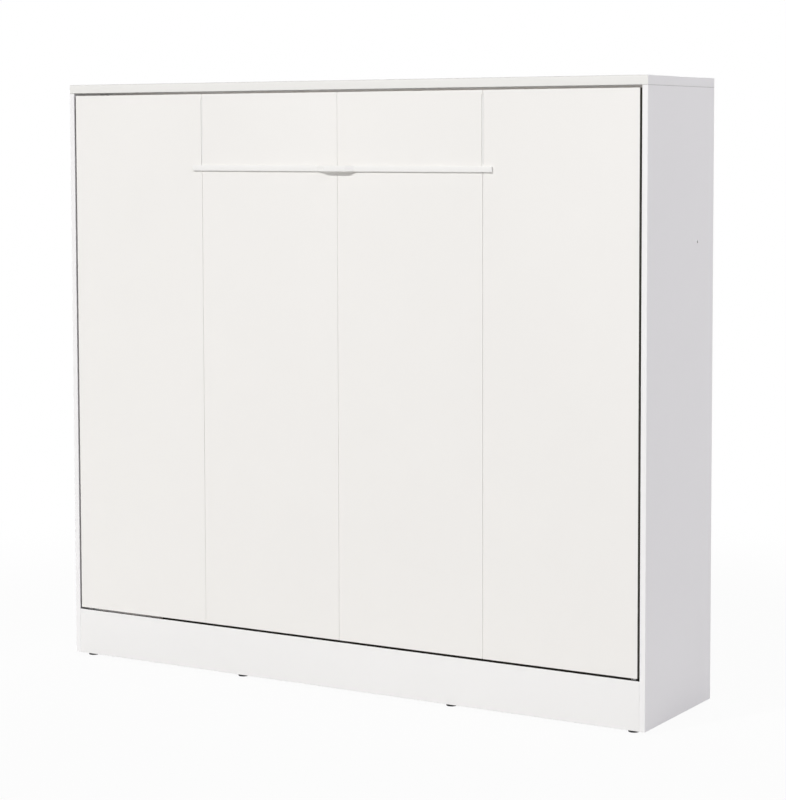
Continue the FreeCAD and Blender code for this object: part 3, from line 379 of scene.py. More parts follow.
def solids_of(node):
    """Points of each solid in a CAD node: labels spread over triangles to the lowest until they settle."""
    points, triangles = merged(node)
    label = np.arange(len(points))
    settled = False
    while not settled:
        spread = label.copy()
        np.minimum.at(spread, triangles.ravel(), np.repeat(label[triangles].min(axis=1), 3))
        spread = spread[spread]
        settled = np.array_equal(spread, label)
        label = spread
    return [points[label == solid] for solid in np.unique(label)]


def corners_of(node):
    """Lowest and highest corners of each solid in a CAD node, two arrays (solids, 3)."""
    solids = solids_of(node)
    low = [points.min(axis=0) for points in solids]
    high = [points.max(axis=0) for points in solids]
    return np.array(low), np.array(high)


def show(name, mesh, *materials):
    """New object of a mesh, smooth but for its sharp edges."""
    for material in materials:
        mesh.materials.append(material)
    mesh.polygons.foreach_set("use_smooth", np.ones(len(mesh.polygons), bool))
    mesh.set_sharp_from_angle(angle=SMOOTH_BELOW)
    piece = bpy.data.objects.new(name, mesh)
    bpy.context.scene.collection.objects.link(piece)
    return piece


def surface(name, material, *sets, lie=None):
    """Piece of sets of like grids of points, each an array (grids, rows, columns, 3).

    The columns close into loops. Points that meet are merged, so a row of one point closes to a pole, and
    faces are turned outwards.
    lie, if given, is stored on the points as the attribute that grain and weave follow.
    """
    points, faces, used = [], [], 0
    for grids in sets:
        count, rows, columns, _ = grids.shape
        i = np.arange(rows - 1)[:, None] * columns
        j = np.arange(columns)[None, :]
        beside = (j + 1) % columns
        quads = np.stack([i + j, i + beside, i + columns + beside, i + columns + j], axis=-1).reshape(-1, 4)
        starts = used + np.arange(count)[:, None, None] * rows * columns
        points.append(grids.reshape(-1, 3))
        faces.append((starts + quads).reshape(-1, 4))
        used += count * rows * columns
    mesh = bpy.data.meshes.new(name)
    mesh.from_pydata(np.concatenate(points), [], np.concatenate(faces))
    if lie is not None:
        stored = mesh.attributes.new("lie", "FLOAT_VECTOR", "POINT")
        stored.data.foreach_set("vector", np.ascontiguousarray(lie, np.float32).ravel())
    work = bmesh.new()
    work.from_mesh(mesh)
    bmesh.ops.remove_doubles(work, verts=work.verts, dist=MERGE)
    bmesh.ops.recalc_face_normals(work, faces=work.faces)
    work.to_mesh(mesh)
    work.free()
    return show(name, mesh, material)


def settle(piece, body, slot, *nodes):
    """Puts a piece on a body in place of CAD nodes, which it hides. The slot is not used."""
    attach(piece, body)
    if nodes:
        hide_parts(*nodes)


def grid(x, y, z):
    """Points from three arrays of coordinates that are spread over one grid."""
    return np.stack(np.broadcast_arrays(x, y, z), axis=-1)


def copies(one, places):
    """One grid of points repeated at each place."""
    return one[None] + places[:, None, None, :]


def full_turn(columns):
    """Angles spaced evenly once round."""
    return np.linspace(0, 2 * math.pi, columns, endpoint=False)


def quarter_round(edge, points=5):
    """Quarter circle from an end to the wall beside it: how far in and how far along each point lies."""
    turn = np.linspace(0, math.pi / 2, points)
    return edge * (1 - np.sin(turn)), edge * (1 - np.cos(turn))


def rounded_loops(width, depth, radius, per_corner=5):
    """Rounded rectangles, one a row: quarter circles about points that lie the radius inside each corner."""
    width, depth, radius = np.broadcast_arrays(np.atleast_1d(width), depth, radius)
    turn = (np.arange(4)[:, None] * math.pi / 2 + np.linspace(0, math.pi / 2, per_corner)).ravel()
    side_x = np.repeat((1, -1, -1, 1), per_corner)
    side_y = np.repeat((1, 1, -1, -1), per_corner)
    x = side_x * (width / 2 - radius)[:, None] + radius[:, None] * np.cos(turn)
    y = side_y * (depth / 2 - radius)[:, None] + radius[:, None] * np.sin(turn)
    return x, y


def drawn_loops(width, depth, radius, drawn, per_corner=5):
    """Rounded rectangles drawn in by a distance a row, down to a point where it is endless."""
    return rounded_loops(np.maximum(width - 2 * drawn, 0), np.maximum(depth - 2 * drawn, 0),
                         np.maximum(radius - drawn, 0), per_corner)


def rounded_run(start, end, edge, between):
    """Places along a run, and how far its section is drawn in there.

    Both ends are quarter circles of the edge radius closed by a pole. between are the places between them.
    """
    inset, ahead = quarter_round(edge, 4)
    place = np.concatenate([[start], start + ahead, between, end - ahead[::-1], [end]])
    drawn = np.concatenate([[np.inf], inset, np.zeros(len(between)), inset[::-1], [np.inf]])
    return place, drawn


def turned(profile, columns):
    """Points of a profile of (radius, height) rows turned about the Z axis, an array (rows, columns, 3)."""
    radius, height = np.array(profile).T[:, :, None]
    around = full_turn(columns)
    return grid(radius * np.cos(around), radius * np.sin(around), height)


def fasteners(node):
    """Place and size of each screw in a CAD node.

    Gives the middle of each seat, three axes of which the last points out of the head, and the head's
    radius, the head's height, the shank's radius and the shank's length.
    """
    seats, axes, measures = [], [], []
    # The points of a head lie further from the axis than this share of the widest
    head_share = 0.9
    for points in solids_of(node):
        low, high = points.min(axis=0), points.max(axis=0)
        along = int(np.argmax(high - low))
        middle = (low + high) / 2
        reach = np.linalg.norm(np.delete(points - middle, along, axis=1), axis=1)
        head = points[reach > head_share * reach.max(), along]
        side = 1 if head.mean() > middle[along] else -1
        ahead = side * (points[:, along] - middle[along])
        seat = (side * (head - middle[along])).min()
        shank = reach[ahead < seat - MERGE].max()
        middle[along] += side * seat
        axis = np.roll(np.eye(3), -along - 1, axis=0)
        axis[2] *= side
        seats.append(middle)
        axes.append(axis)
        measures.append((reach.max(), ahead.max() - seat, shank, seat - ahead.min()))
    return np.array(seats), np.array(axes), np.array(measures)


def placed(local, seats, axes):
    """Copies of points in the axes of each fastener, at its seat."""
    return np.einsum("nrci,nij->nrcj", local, axes) + seats[:, None, None, :]


def dressed_copy(node, name, materials, choose):
    """Merged copy of a CAD node. choose gives each face its material from the face's normal and middle."""
    points, triangles = merged(node)
    mesh = bpy.data.meshes.new(name)
    mesh.from_pydata(points, [], triangles)
    corners = points[triangles]
    normals = np.cross(corners[:, 1] - corners[:, 0], corners[:, 2] - corners[:, 0])
    normals /= np.maximum(np.linalg.norm(normals, axis=1, keepdims=True), np.finfo(float).tiny)
    mesh.polygons.foreach_set("material_index", choose(normals, corners.mean(axis=1)).astype(np.int32))
    return show(name, mesh, *materials)


class WALLBED_OT_boards(bpy.types.Operator):
    """Finish the cabinet's boards and the top's edge band, with painted shade: near-black on the plinth's top
    and on the rear rail's front, and grey lines where the sides meet the top and along the top's upper front
    edge
    """
    bl_idname = "wallbed.boards"
    bl_label = "Cabinet boards"

    def execute(self, context):
        white = coat("white_melamine", melamine_laminate, hues().carcass)
        low_white = coat("plinth_melamine", melamine_laminate, hues().plinth)
        edge = coat("white_abs_edge_band", melamine_laminate, hues().top_edge)
        # Painted shade: grey lines in the joints of the sides and the top, and on the top's upper front
        # corner
        joint = coat("glue_line", moulded_polymer, hues().joint, 1.0 * MM, 0.8)
        # Painted shade: the rear rail's front is made near-black, so that the gap behind the plinth reads
        # dark
        backing = coat("dark_backing_paper", moulded_polymer, hues().backing, 2.0 * MM, 0.9, 0.1)
        # Painted shade on the plinth's top: near-black and dead matt, so that the gap above it stays dark at
        # a slant too
        band = coat("matt_dark_edge_band", moulded_polymer, hues().edge, 1.5 * MM, 0.9, 0.0)
        wear(white, "rear_top_rail")
        for node, name, materials, choose in (
                ("top_panel", "top_with_edge_band", (white, edge, joint), self.top_finish),
                ("left_side_panel", "left_side_with_joint", (white, joint), self.faces_up),
                ("right_side_panel", "right_side_with_joint", (white, joint), self.faces_up),
                ("rear_bottom_rail", "rear_rail_with_dark_backing", (white, backing), self.faces_front),
                ("plinth_board", "plinth_with_edge_band", (low_white, band), self.faces_up)):
            settle(dressed_copy(node, name, materials, choose), "cabinet", "white_laminate", node)
        return {"FINISHED"}

    @staticmethod
    def faces_up(normals, middles):
        """1 on upper faces and their rounded edges, else 0."""
        return normals[:, 2] > 1 - FACING

    @staticmethod
    def faces_front(normals, middles):
        """1 on front faces, else 0."""
        return normals[:, 1] < -FACING

    @staticmethod
    def top_finish(normals, middles):
        """1 on the front edge, 2 on its rounded upper corner, where a grey line of shade is painted, else 0.
        """
        corner = (normals[:, 1] < FACING - 1) & (normals[:, 2] > 1 - FACING)
        return np.where(corner, 2, normals[:, 1] < -FACING)


class WALLBED_OT_front(bpy.types.Operator):
    """Finish the four front boards, with painted shade in grey on the edges that face the gap round the front
    """
    bl_idname = "wallbed.front"
    bl_label = "Front boards"

    def execute(self, context):
        warm = coat("warm_white_melamine", melamine_laminate, hues().front)
        # Painted shade: grey on the edges round the front, so that the gap reads dark
        band = coat("matt_grey_edge_band", moulded_polymer, hues().painted_front_gap_shade, 1.5 * MM, 0.9, 0.0)
        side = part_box(FRONT_BOARDS[-1])[1][0]
        bottom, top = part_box(FRONT_BOARDS[0])[0][2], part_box(FRONT_BOARDS[0])[1][2]

        def painted_gap_shade_faces(normals, middles):
            """1 on edge faces that lie on the outline of the four boards, which carry the painted shade, else
            0.
            """
            outer = ((np.abs(middles[:, 0]) > side - BAND) | (middles[:, 2] > top - BAND)
                     | (middles[:, 2] < bottom + BAND))
            return outer & (np.abs(normals[:, 1]) < FACING)

        for node in FRONT_BOARDS:
            board = dressed_copy(node, node + "_with_edge_band", (warm, band), painted_gap_shade_faces)
            settle(board, "bed", "front_laminate", node)
        return {"FINISHED"}


class WALLBED_OT_fittings(bpy.types.Operator):
    """Finish the brackets, plates, pins, bushes, pads and plugs"""
    bl_idname = "wallbed.fittings"
    bl_label = "Fittings"

    def execute(self, context):
        wear(zinc(), "corner_brackets", "stop_brackets", "left_pivot_plate", "right_pivot_plate",
             "left_pivot_pin", "right_pivot_pin", "cabinet_clips", "strut_anchor_studs", "left_lever_plate",
             "right_lever_plate", "lever_studs", "lever_clips", "leg_hinge_brackets", "leg_hinge_pins")
        wear(black_plastic(), "foot_holders", "tube_plugs")
        wear(coat("natural_nylon", moulded_polymer, hues().nylon, 1.2 * MM, 0.4), "pivot_bushes")
        wear(coat("black_rubber", moulded_polymer, hues().rubber, 1.5 * MM, 0.75), "stop_pads")
        return {"FINISHED"}


class WALLBED_OT_screws(bpy.types.Operator):
    """Add pan head screws with a cross recess"""
    bl_idname = "wallbed.screws"
    bl_label = "Screws"

    def execute(self, context):
        for node, body in (("cabinet_screws", "cabinet"), ("board_screws", "bed"), ("strap_screws", "bed"),
                           ("leg_hinge_screws", "bed")):
            piece = surface("pan_head_" + node, zinc(), self.pan_heads(node))
            settle(piece, body, "zinc_steel", node)
        return {"FINISHED"}

    @staticmethod
    def pan_heads(node):
        """A pointed shank, then a low rim and a quarter ellipse to the head's top, turned about the axis.

        The recess sinks the dome along two crossed arms, most in the middle of each arm.
        """
        columns, point, seat_radius, seat_rise = 20, 0.86, 0.95, 0.08
        rim, sunk, arm_width, arm_reach, arm_end = 0.35, 0.5, 0.17, 0.62, 0.16
        dome = np.linspace(0, math.pi / 2, 7)
        # Shares of the head's radius, the shank's radius, the head's height and the shank's length
        shank = [(0, 0, 0, -1), (0, 1, 0, -point), (0, 1, 0, 0), (seat_radius, 0, 0, 0), (1, 0, seat_rise, 0)]
        cap = np.stack([np.cos(dome), 0 * dome, rim + (1 - rim) * np.sin(dome), 0 * dome], axis=1)
        shares = np.concatenate([shank, cap])
        seats, axes, measures = fasteners(node)
        head, height, shank_radius, reach = measures.T[:, :, None]
        radius = head * shares[:, 0] + shank_radius * shares[:, 1]
        rise = height * shares[:, 2] + reach * shares[:, 3]
        around = full_turn(columns)
        local = grid(radius[..., None] * np.cos(around), radius[..., None] * np.sin(around), rise[..., None])
        off_arm = np.minimum(np.abs(local[..., 0]), np.abs(local[..., 1])) / (arm_width * head[..., None])
        short = (arm_reach * head - radius)[..., None] / (arm_end * head[..., None])
        recess = np.clip(1 - off_arm, 0, 1) * np.clip(short, 0, 1) * (rise > rim * height)[..., None]
        local[..., 2] -= sunk * height[..., None] * recess
        return placed(local, seats, axes)


class WALLBED_OT_bolts(bpy.types.Operator):
    """Add the hexagon bolts of the lever plates"""
    bl_idname = "wallbed.bolts"
    bl_label = "Lever bolts"

    def execute(self, context):
        piece = surface("hexagon_lever_bolts", zinc(), self.hexagon_heads("lever_bolts"))
        settle(piece, "bed", "zinc_steel", "lever_bolts")
        return {"FINISHED"}

    @staticmethod
    def hexagon_heads(node):
        """A shank and a hexagon head, whose radius is the half width over the cosine of the turn off a flat.

        The corners are cut by a cone, so the upper rim dips towards each corner, and a circle closes the top.
        """
        columns, chamfer = 48, math.tan(math.radians(30))
        washer_share, circle_share, washer_rise = 0.97, 0.96, 0.06
        seats, axes, measures = fasteners(node)
        head, height, shank_radius, reach = measures.T[:, :, None]
        around = full_turn(columns)
        flat = head * math.cos(math.pi / 6)
        hexagon = flat / np.cos((around + math.pi / 6) % (math.pi / 3) - math.pi / 6)
        level = 0 * hexagon
        shank, washer, circle = shank_radius + level, washer_share * flat + level, circle_share * flat + level
        radius = np.stack([level, shank, shank, washer, hexagon, hexagon, circle, level], axis=1)
        rise = np.stack([level - reach, level - reach, level, level, level + washer_rise * height,
                         height - chamfer * (hexagon - circle), level + height, level + height], axis=1)
        return placed(grid(radius * np.cos(around), radius * np.sin(around), rise), seats, axes)


class WALLBED_OT_feet(bpy.types.Operator):
    """Add the turned glides under the plinth and under the rear rail"""
    bl_idname = "wallbed.feet"
    bl_label = "Feet"

    def execute(self, context):
        for node in ("front_feet", "rear_feet"):
            piece = surface("turned_" + node, black_plastic(), self.glides(node))
            settle(piece, "cabinet", "black_plastic", node)
        return {"FINISHED"}

    @staticmethod
    def glides(node):
        """A disc that widens upwards, with round rims, and its stem, turned about each foot's axis."""
        size = sizes()
        columns = 40
        low, high = corners_of(node)
        radius, top = (high - low)[0, 0] / 2, high[0, 2]
        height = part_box("plinth_board")[0][2]
        one = solids_of(node)[0]
        stem_radius = np.ptp(one[one[:, 2] > top - MERGE, 0]) / 2
        inset, ahead = quarter_round(size.foot_edge)
        lower = np.stack([radius - size.foot_taper - inset, ahead], axis=1)
        upper = np.stack([radius - ahead, height - inset], axis=1)
        stem = [(stem_radius, height), (stem_radius, top), (0, top)]
        profile = np.concatenate([[(0, 0)], lower, upper, stem])
        return copies(turned(profile, columns), (low + high) / 2 * (1, 1, 0))


class WALLBED_OT_frame(bpy.types.Operator):
    """Finish the bed frame's tubes and bows, and add the weld beads in its corners"""
    bl_idname = "wallbed.frame"
    bl_label = "Bed frame"

    def execute(self, context):
        grey = coat("grey_powder_coat", powder_coat, hues().frame_coat, 0.5)
        wear(grey, "frame_lower_tube", "frame_upper_tube", "frame_centre_tube", "frame_left_tube",
             "frame_right_tube", "mattress_bows")
        settle(surface("weld_beads", grey, self.beads()), "bed", "frame_steel")
        return {"FINISHED"}

    @staticmethod
    def beads():
        """Round beads along the depth of each inner corner, whose radius swells and sinks as a cosine."""
        size = sizes()
        ripple, rows_a_ripple, swell, columns = 2.6 * MM, 6, 0.14, 12
        front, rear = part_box("frame_centre_tube")[0][1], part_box("frame_centre_tube")[1][1]
        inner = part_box("frame_right_tube")[0][0]
        heights = (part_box("frame_lower_tube")[1][2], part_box("frame_centre_tube")[0][2],
                   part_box("frame_centre_tube")[1][2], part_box("frame_upper_tube")[0][2])
        ripples = int((rear - front - 2 * size.weld) / ripple)
        along = np.linspace(front + size.weld, rear - size.weld, ripples * rows_a_ripple + 1)
        wave = 2 * math.pi * np.arange(len(along)) / rows_a_ripple
        radius = np.concatenate([[0], size.weld * (1 - swell + swell * np.cos(wave)), [0]])
        along = np.concatenate([along[:1] - size.weld / 2, along, along[-1:] + size.weld / 2])
        bead = turned(np.stack([radius, along], axis=1), columns)[..., [0, 2, 1]]
        corners = np.array([(side * inner, 0, height) for side in (-1, 1) for height in heights])
        return copies(bead, corners)


class WALLBED_OT_slats(bpy.types.Operator):
    """Add the two rows of bowed birch slats"""
    bl_idname = "wallbed.slats"
    bl_label = "Slats"

    def execute(self, context):
        birch = coat("lacquered_birch", lacquered_birch, hues().slat, hues().slat_grain)
        for node in ("lower_slats", "upper_slats"):
            grids, lie = self.bowed(node)
            settle(surface("bowed_" + node, birch, grids, lie=lie), "bed", "slat_wood", node)
        return {"FINISHED"}

    @staticmethod
    def bowed(node):
        """A rounded section carried along a circular arc through both ends and the middle of a slat.

        The arc's radius is (half length squared plus rise squared) over twice the rise.
        """
        size = sizes()
        points = 42
        low, high = corners_of(node)
        width, bow, long = (high - low)[0]
        rise, half = bow - size.slat_thickness, long / 2
        radius = (half ** 2 + rise ** 2) / (2 * rise)
        along, drawn = rounded_run(-half, half, size.slat_edge, np.linspace(-half, half, points)[1:-1])
        x, through = drawn_loops(width, size.slat_thickness, size.slat_edge, drawn)
        arc = (np.sqrt(radius ** 2 - along ** 2) - radius + rise)[:, None]
        one = grid(x, through + size.slat_thickness / 2 + arc, along[:, None])
        flat = grid(x, through + size.slat_thickness / 2, along[:, None])
        middles = np.stack([(low + high)[:, 0] / 2, low[:, 1], (low + high)[:, 2] / 2], axis=1)
        # Each slat is cut from another stretch of veneer, so its grain lies far from its neighbours'
        spread = (5, 0, 3)
        return copies(one, middles), copies(flat, middles * spread)


class WALLBED_OT_caps(bpy.types.Operator):
    """Add the moulded slat caps with their pockets, grooves and pegs"""
    bl_idname = "wallbed.caps"
    bl_label = "Slat caps"

    def execute(self, context):
        lower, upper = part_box("frame_lower_tube"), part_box("frame_upper_tube")
        low, high = corners_of("slat_end_caps")
        upward = np.where(low[:, 2] < (lower[0][2] + upper[1][2]) / 2, 1.0, -1.0)
        closed = np.where(upward > 0, low[:, 2], high[:, 2])
        tubes = np.where(upward > 0, (lower[0][2] + lower[1][2]) / 2, (upper[0][2] + upper[1][2]) / 2)
        along, drawn = self.end_run((high - low)[0, 2])
        shells = self.shells(low, high, drawn, closed[:, None] + upward[:, None] * along)
        ends = surface("moulded_slat_end_caps", black_plastic(), shells, self.pegs(low, high, tubes))
        settle(ends, "bed", "black_plastic", "slat_end_caps")

        low, high = corners_of("slat_centre_caps")
        tubes = (low + high)[:, 2] / 2
        along, drawn = self.centre_run((high - low)[0, 2])
        shells = self.shells(low, high, drawn, tubes[:, None] + along)
        centres = surface("moulded_slat_centre_caps", black_plastic(), shells, self.pegs(low, high, tubes))
        settle(centres, "bed", "black_plastic", "slat_centre_caps")
        return {"FINISHED"}

    @staticmethod
    def grooves(start, end):
        """Places and depths of three moulded grooves between two places along a cap."""
        count, points = 3, 16
        shares = np.linspace(0, 1, points)[1:-1]
        return start + shares * (end - start), sizes().cap_groove * np.sin(count * math.pi * shares) ** 4

    def end_run(self, long):
        """Run of an end cap's section: a round closed end, grooves, a rounded lip, then down the pocket."""
        size = sizes()
        lip, wall = size.cap_lip, size.cap_wall
        grooves_from, grooves_to = 0.35 * long, 0.9 * long
        inset, ahead = quarter_round(size.cap_edge)
        places, depths = self.grooves(grooves_from, grooves_to)
        along = np.concatenate([[0], ahead, places, [long - lip, long, long, wall, wall]])
        drawn = np.concatenate([[np.inf], inset, depths, [0, lip, wall, wall, np.inf]])
        return along, drawn

    def centre_run(self, long):
        """Run of a centre cap's section: up out of one pocket, over the grooved outside, down the other."""
        size = sizes()
        lip, wall, half = size.cap_lip, size.cap_wall, long / 2
        inside, grooved = wall / 2, 0.7 * half
        places, depths = self.grooves(-grooved, grooved)
        along = np.concatenate([[-inside, -inside, -half, -half, lip - half], places,
                                [half - lip, half, half, inside, inside]])
        drawn = np.concatenate([[np.inf, wall, wall, lip, 0], depths, [0, lip, wall, wall, np.inf]])
        return along, drawn

    @staticmethod
    def shells(low, high, drawn, heights):
        """Rounded rectangles drawn in row by row, at the given heights, on the tubes' rear faces."""
        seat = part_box("frame_lower_tube")[1][1]
        width, depth = (high - low)[0, 0], high[0, 1] - seat
        x, y = drawn_loops(width, depth, sizes().cap_edge, drawn)
        middles = (low + high)[:, 0] / 2
        return grid(x + middles[:, None, None], y + seat + depth / 2, heights[:, :, None])

    @staticmethod
    def pegs(low, high, heights):
        """Short pegs turned about the depth axis, from inside the tube into the cap's wall."""
        radius, columns = sizes().peg_radius, 20
        nose, bevel = 0.75 * radius, 1 * MM
        start, end = low[0, 1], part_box("frame_lower_tube")[1][1] + sizes().cap_wall / 2
        profile = [(0, start), (nose, start), (radius, start + bevel), (radius, end), (0, end)]
        middles = np.stack([(low + high)[:, 0] / 2, 0 * heights, heights], axis=1)
        return copies(turned(profile, columns)[..., [0, 2, 1]], middles)


class WALLBED_OT_straps(bpy.types.Operator):
    """Add the mattress straps with their stitches and buckles"""
    bl_idname = "wallbed.straps"
    bl_label = "Mattress straps"

    def execute(self, context):
        grids, lie = self.bands()
        webbing = coat("woven_polyester_webbing", woven_webbing, hues().webbing)
        straps = surface("woven_mattress_straps", webbing, grids, lie=lie)
        settle(straps, "bed", "webbing", "mattress_straps")
        thread = coat("sewing_thread", moulded_polymer, hues().thread, 1.0 * MM, 0.7)
        stitches = surface("strap_stitches", thread, self.stitches())
        settle(stitches, "bed", "webbing")
        low, high = corners_of("mattress_straps")
        buckles = surface("moulded_strap_buckles", black_plastic(), self.buckles())
        settle(buckles, "bed", "black_plastic", "strap_buckles")
        return {"FINISHED"}

    @staticmethod
    def stand_off(height):
        """How far a strap stands off the tubes: a squared sine between each support and the next."""
        supports = [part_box(name) for name in ("frame_lower_tube", "frame_centre_tube", "strap_buckles",
                                              "frame_upper_tube")]
        off = 0
        for below, above in zip(supports, supports[1:]):
            start, end = below[1][2], above[0][2]
            off += np.sin(math.pi * np.clip((height - start) / (end - start), 0, 1)) ** 2
        return sizes().strap_slack * off

    def bands(self):
        """A flat rounded section carried along each strap, off the tubes by the strap's slack."""
        size = sizes()
        points = 122
        low, high = corners_of("mattress_straps")
        wide, thick, _ = (high - low)[0]
        start, end = low[0, 2], high[0, 2]
        along, drawn = rounded_run(start, end, size.strap_edge, np.linspace(start, end, points)[1:-1])
        x, y = drawn_loops(wide, thick, size.strap_edge, drawn)
        rear = y + thick / 2 + low[0, 1] + self.stand_off(along)[:, None]
        lie = grid(x, y, along[:, None])
        bands = copies(grid(x, rear, along[:, None]), (low + high) / 2 * (1, 0, 0))
        return bands, np.broadcast_to(lie, bands.shape)

    def stitches(self):
        """Short round stitches in four lines along each strap, beside its buckle and at its upper end."""
        size = sizes()
        low, high = corners_of("mattress_straps")
        wide, rear = (high - low)[0, 0], high[0, 1]
        buckle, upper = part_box("strap_buckles"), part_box("frame_upper_tube")
        steps, gap = 7, 1.5 * size.stitch
        lines = wide * np.array((-0.4, -0.14, 0.14, 0.4))
        rows = gap * (2 + np.arange(steps))
        heights = np.concatenate([buckle[0][2] - rows, upper[0][2] - rows])
        along, drawn = rounded_run(-size.stitch / 2, size.stitch / 2, size.thread / 2, np.array([0.0]))
        x, y = drawn_loops(size.thread, size.thread, size.thread / 2, drawn, per_corner=2)
        across, aside, up = (values.ravel() for values in np.meshgrid((low + high)[:, 0] / 2, lines, heights))
        middles = np.stack([across + aside, rear + self.stand_off(up), up], axis=1)
        return copies(grid(x, y, along[:, None]), middles)

    @staticmethod
    def buckles():
        """A rounded sleeve: out over a ribbed outside and back through the passage for the strap."""
        size = sizes()
        low, high = corners_of("strap_buckles")
        wide, thick, long = (high - low)[0]
        edge, wall, hollows, points = size.buckle_edge, size.buckle_wall, 5, 42
        inset, ahead = quarter_round(edge)
        shares = np.linspace(0, 1, points)[1:-1]
        ribs = size.buckle_rib * np.sin(hollows * math.pi * shares) ** 2 * np.sin(math.pi * shares) ** 0.5
        along = np.concatenate([ahead, edge + shares * (long - 2 * edge), long - ahead[::-1], [long, 0, 0]])
        drawn = np.concatenate([inset, ribs, inset[::-1], [wall, wall, inset[0]]])
        x, y = drawn_loops(wide, thick, edge, drawn)
        middles = np.stack([(low + high)[:, 0] / 2, low[:, 1], low[:, 2]], axis=1)
        return copies(grid(x, y + thick / 2, along[:, None]), middles)


class WALLBED_OT_struts(bpy.types.Operator):
    """Finish the gas struts"""
    bl_idname = "wallbed.struts"
    bl_label = "Gas struts"

    def execute(self, context):
        wear(coat("black_strut_paint", moulded_polymer, hues().strut, 3.0 * MM, 0.3), "left_strut_cylinder",
             "right_strut_cylinder", "left_strut_gland", "right_strut_gland")
        wear(coat("hard_chrome", hard_chrome, hues().chrome), "left_strut_rod", "right_strut_rod",
             "left_strut_piston", "right_strut_piston")
        return {"FINISHED"}


class WALLBED_OT_leg(bpy.types.Operator):
    """Add the handle bar of the folding leg and finish its arms"""
    bl_idname = "wallbed.leg"
    bl_label = "Folding leg"

    def execute(self, context):
        white = coat("white_powder_coat", powder_coat, hues().leg, 0.35)
        wear(white, "left_leg_arm", "right_leg_arm")
        settle(surface("bent_handle_bar", white, self.bent_bar()), "leg", "leg_steel", "leg_bar")
        return {"FINISHED"}

    @staticmethod
    def bent_bar():
        """A rounded flat section carried along the bar, square to its line.

        The line is straight, slopes out, runs along the grip and slopes back. Each of the four bends is a
        parabola between two straight runs, so the slope changes evenly over the bend's length.
        """
        size = sizes()
        low, high = (np.array(corner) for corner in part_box("leg_bar"))
        end, bend = high[0], size.bar_bend
        flat = size.grip_flat / 2
        foot = flat + size.grip_ramp
        out = high[1] - low[1] - size.bar_thickness
        stops, steps = (end, foot + bend, foot - bend, flat + bend, flat - bend, 0), (24, 12, 6, 12, 6)
        half = np.concatenate([np.linspace(start, stop, count, endpoint=False)
                               for start, stop, count in zip(stops, stops[1:], steps)])[1:]
        along, drawn = rounded_run(-end, end, size.bar_edge, np.concatenate([-half, [0], half[::-1]]))
        signs, bends = np.array((1, -1, -1, 1)), np.array((-foot, -flat, flat, foot))
        past = along[:, None] - bends
        within = np.clip(past + bend, 0, 2 * bend) ** 2 / (4 * bend) + np.maximum(past - bend, 0)
        slope = out / size.grip_ramp * (signs * np.clip((past + bend) / (2 * bend), 0, 1)).sum(axis=1)
        offset = out / size.grip_ramp * (signs * within).sum(axis=1)
        square = np.hypot(1, slope)[:, None]
        through, up = drawn_loops(size.bar_thickness, high[2] - low[2], size.bar_edge, drawn)
        line = high[1] - size.bar_thickness / 2 - offset
        return grid(along[:, None] + through * slope[:, None] / square, line[:, None] + through / square,
                    up + (low[2] + high[2]) / 2)[None]


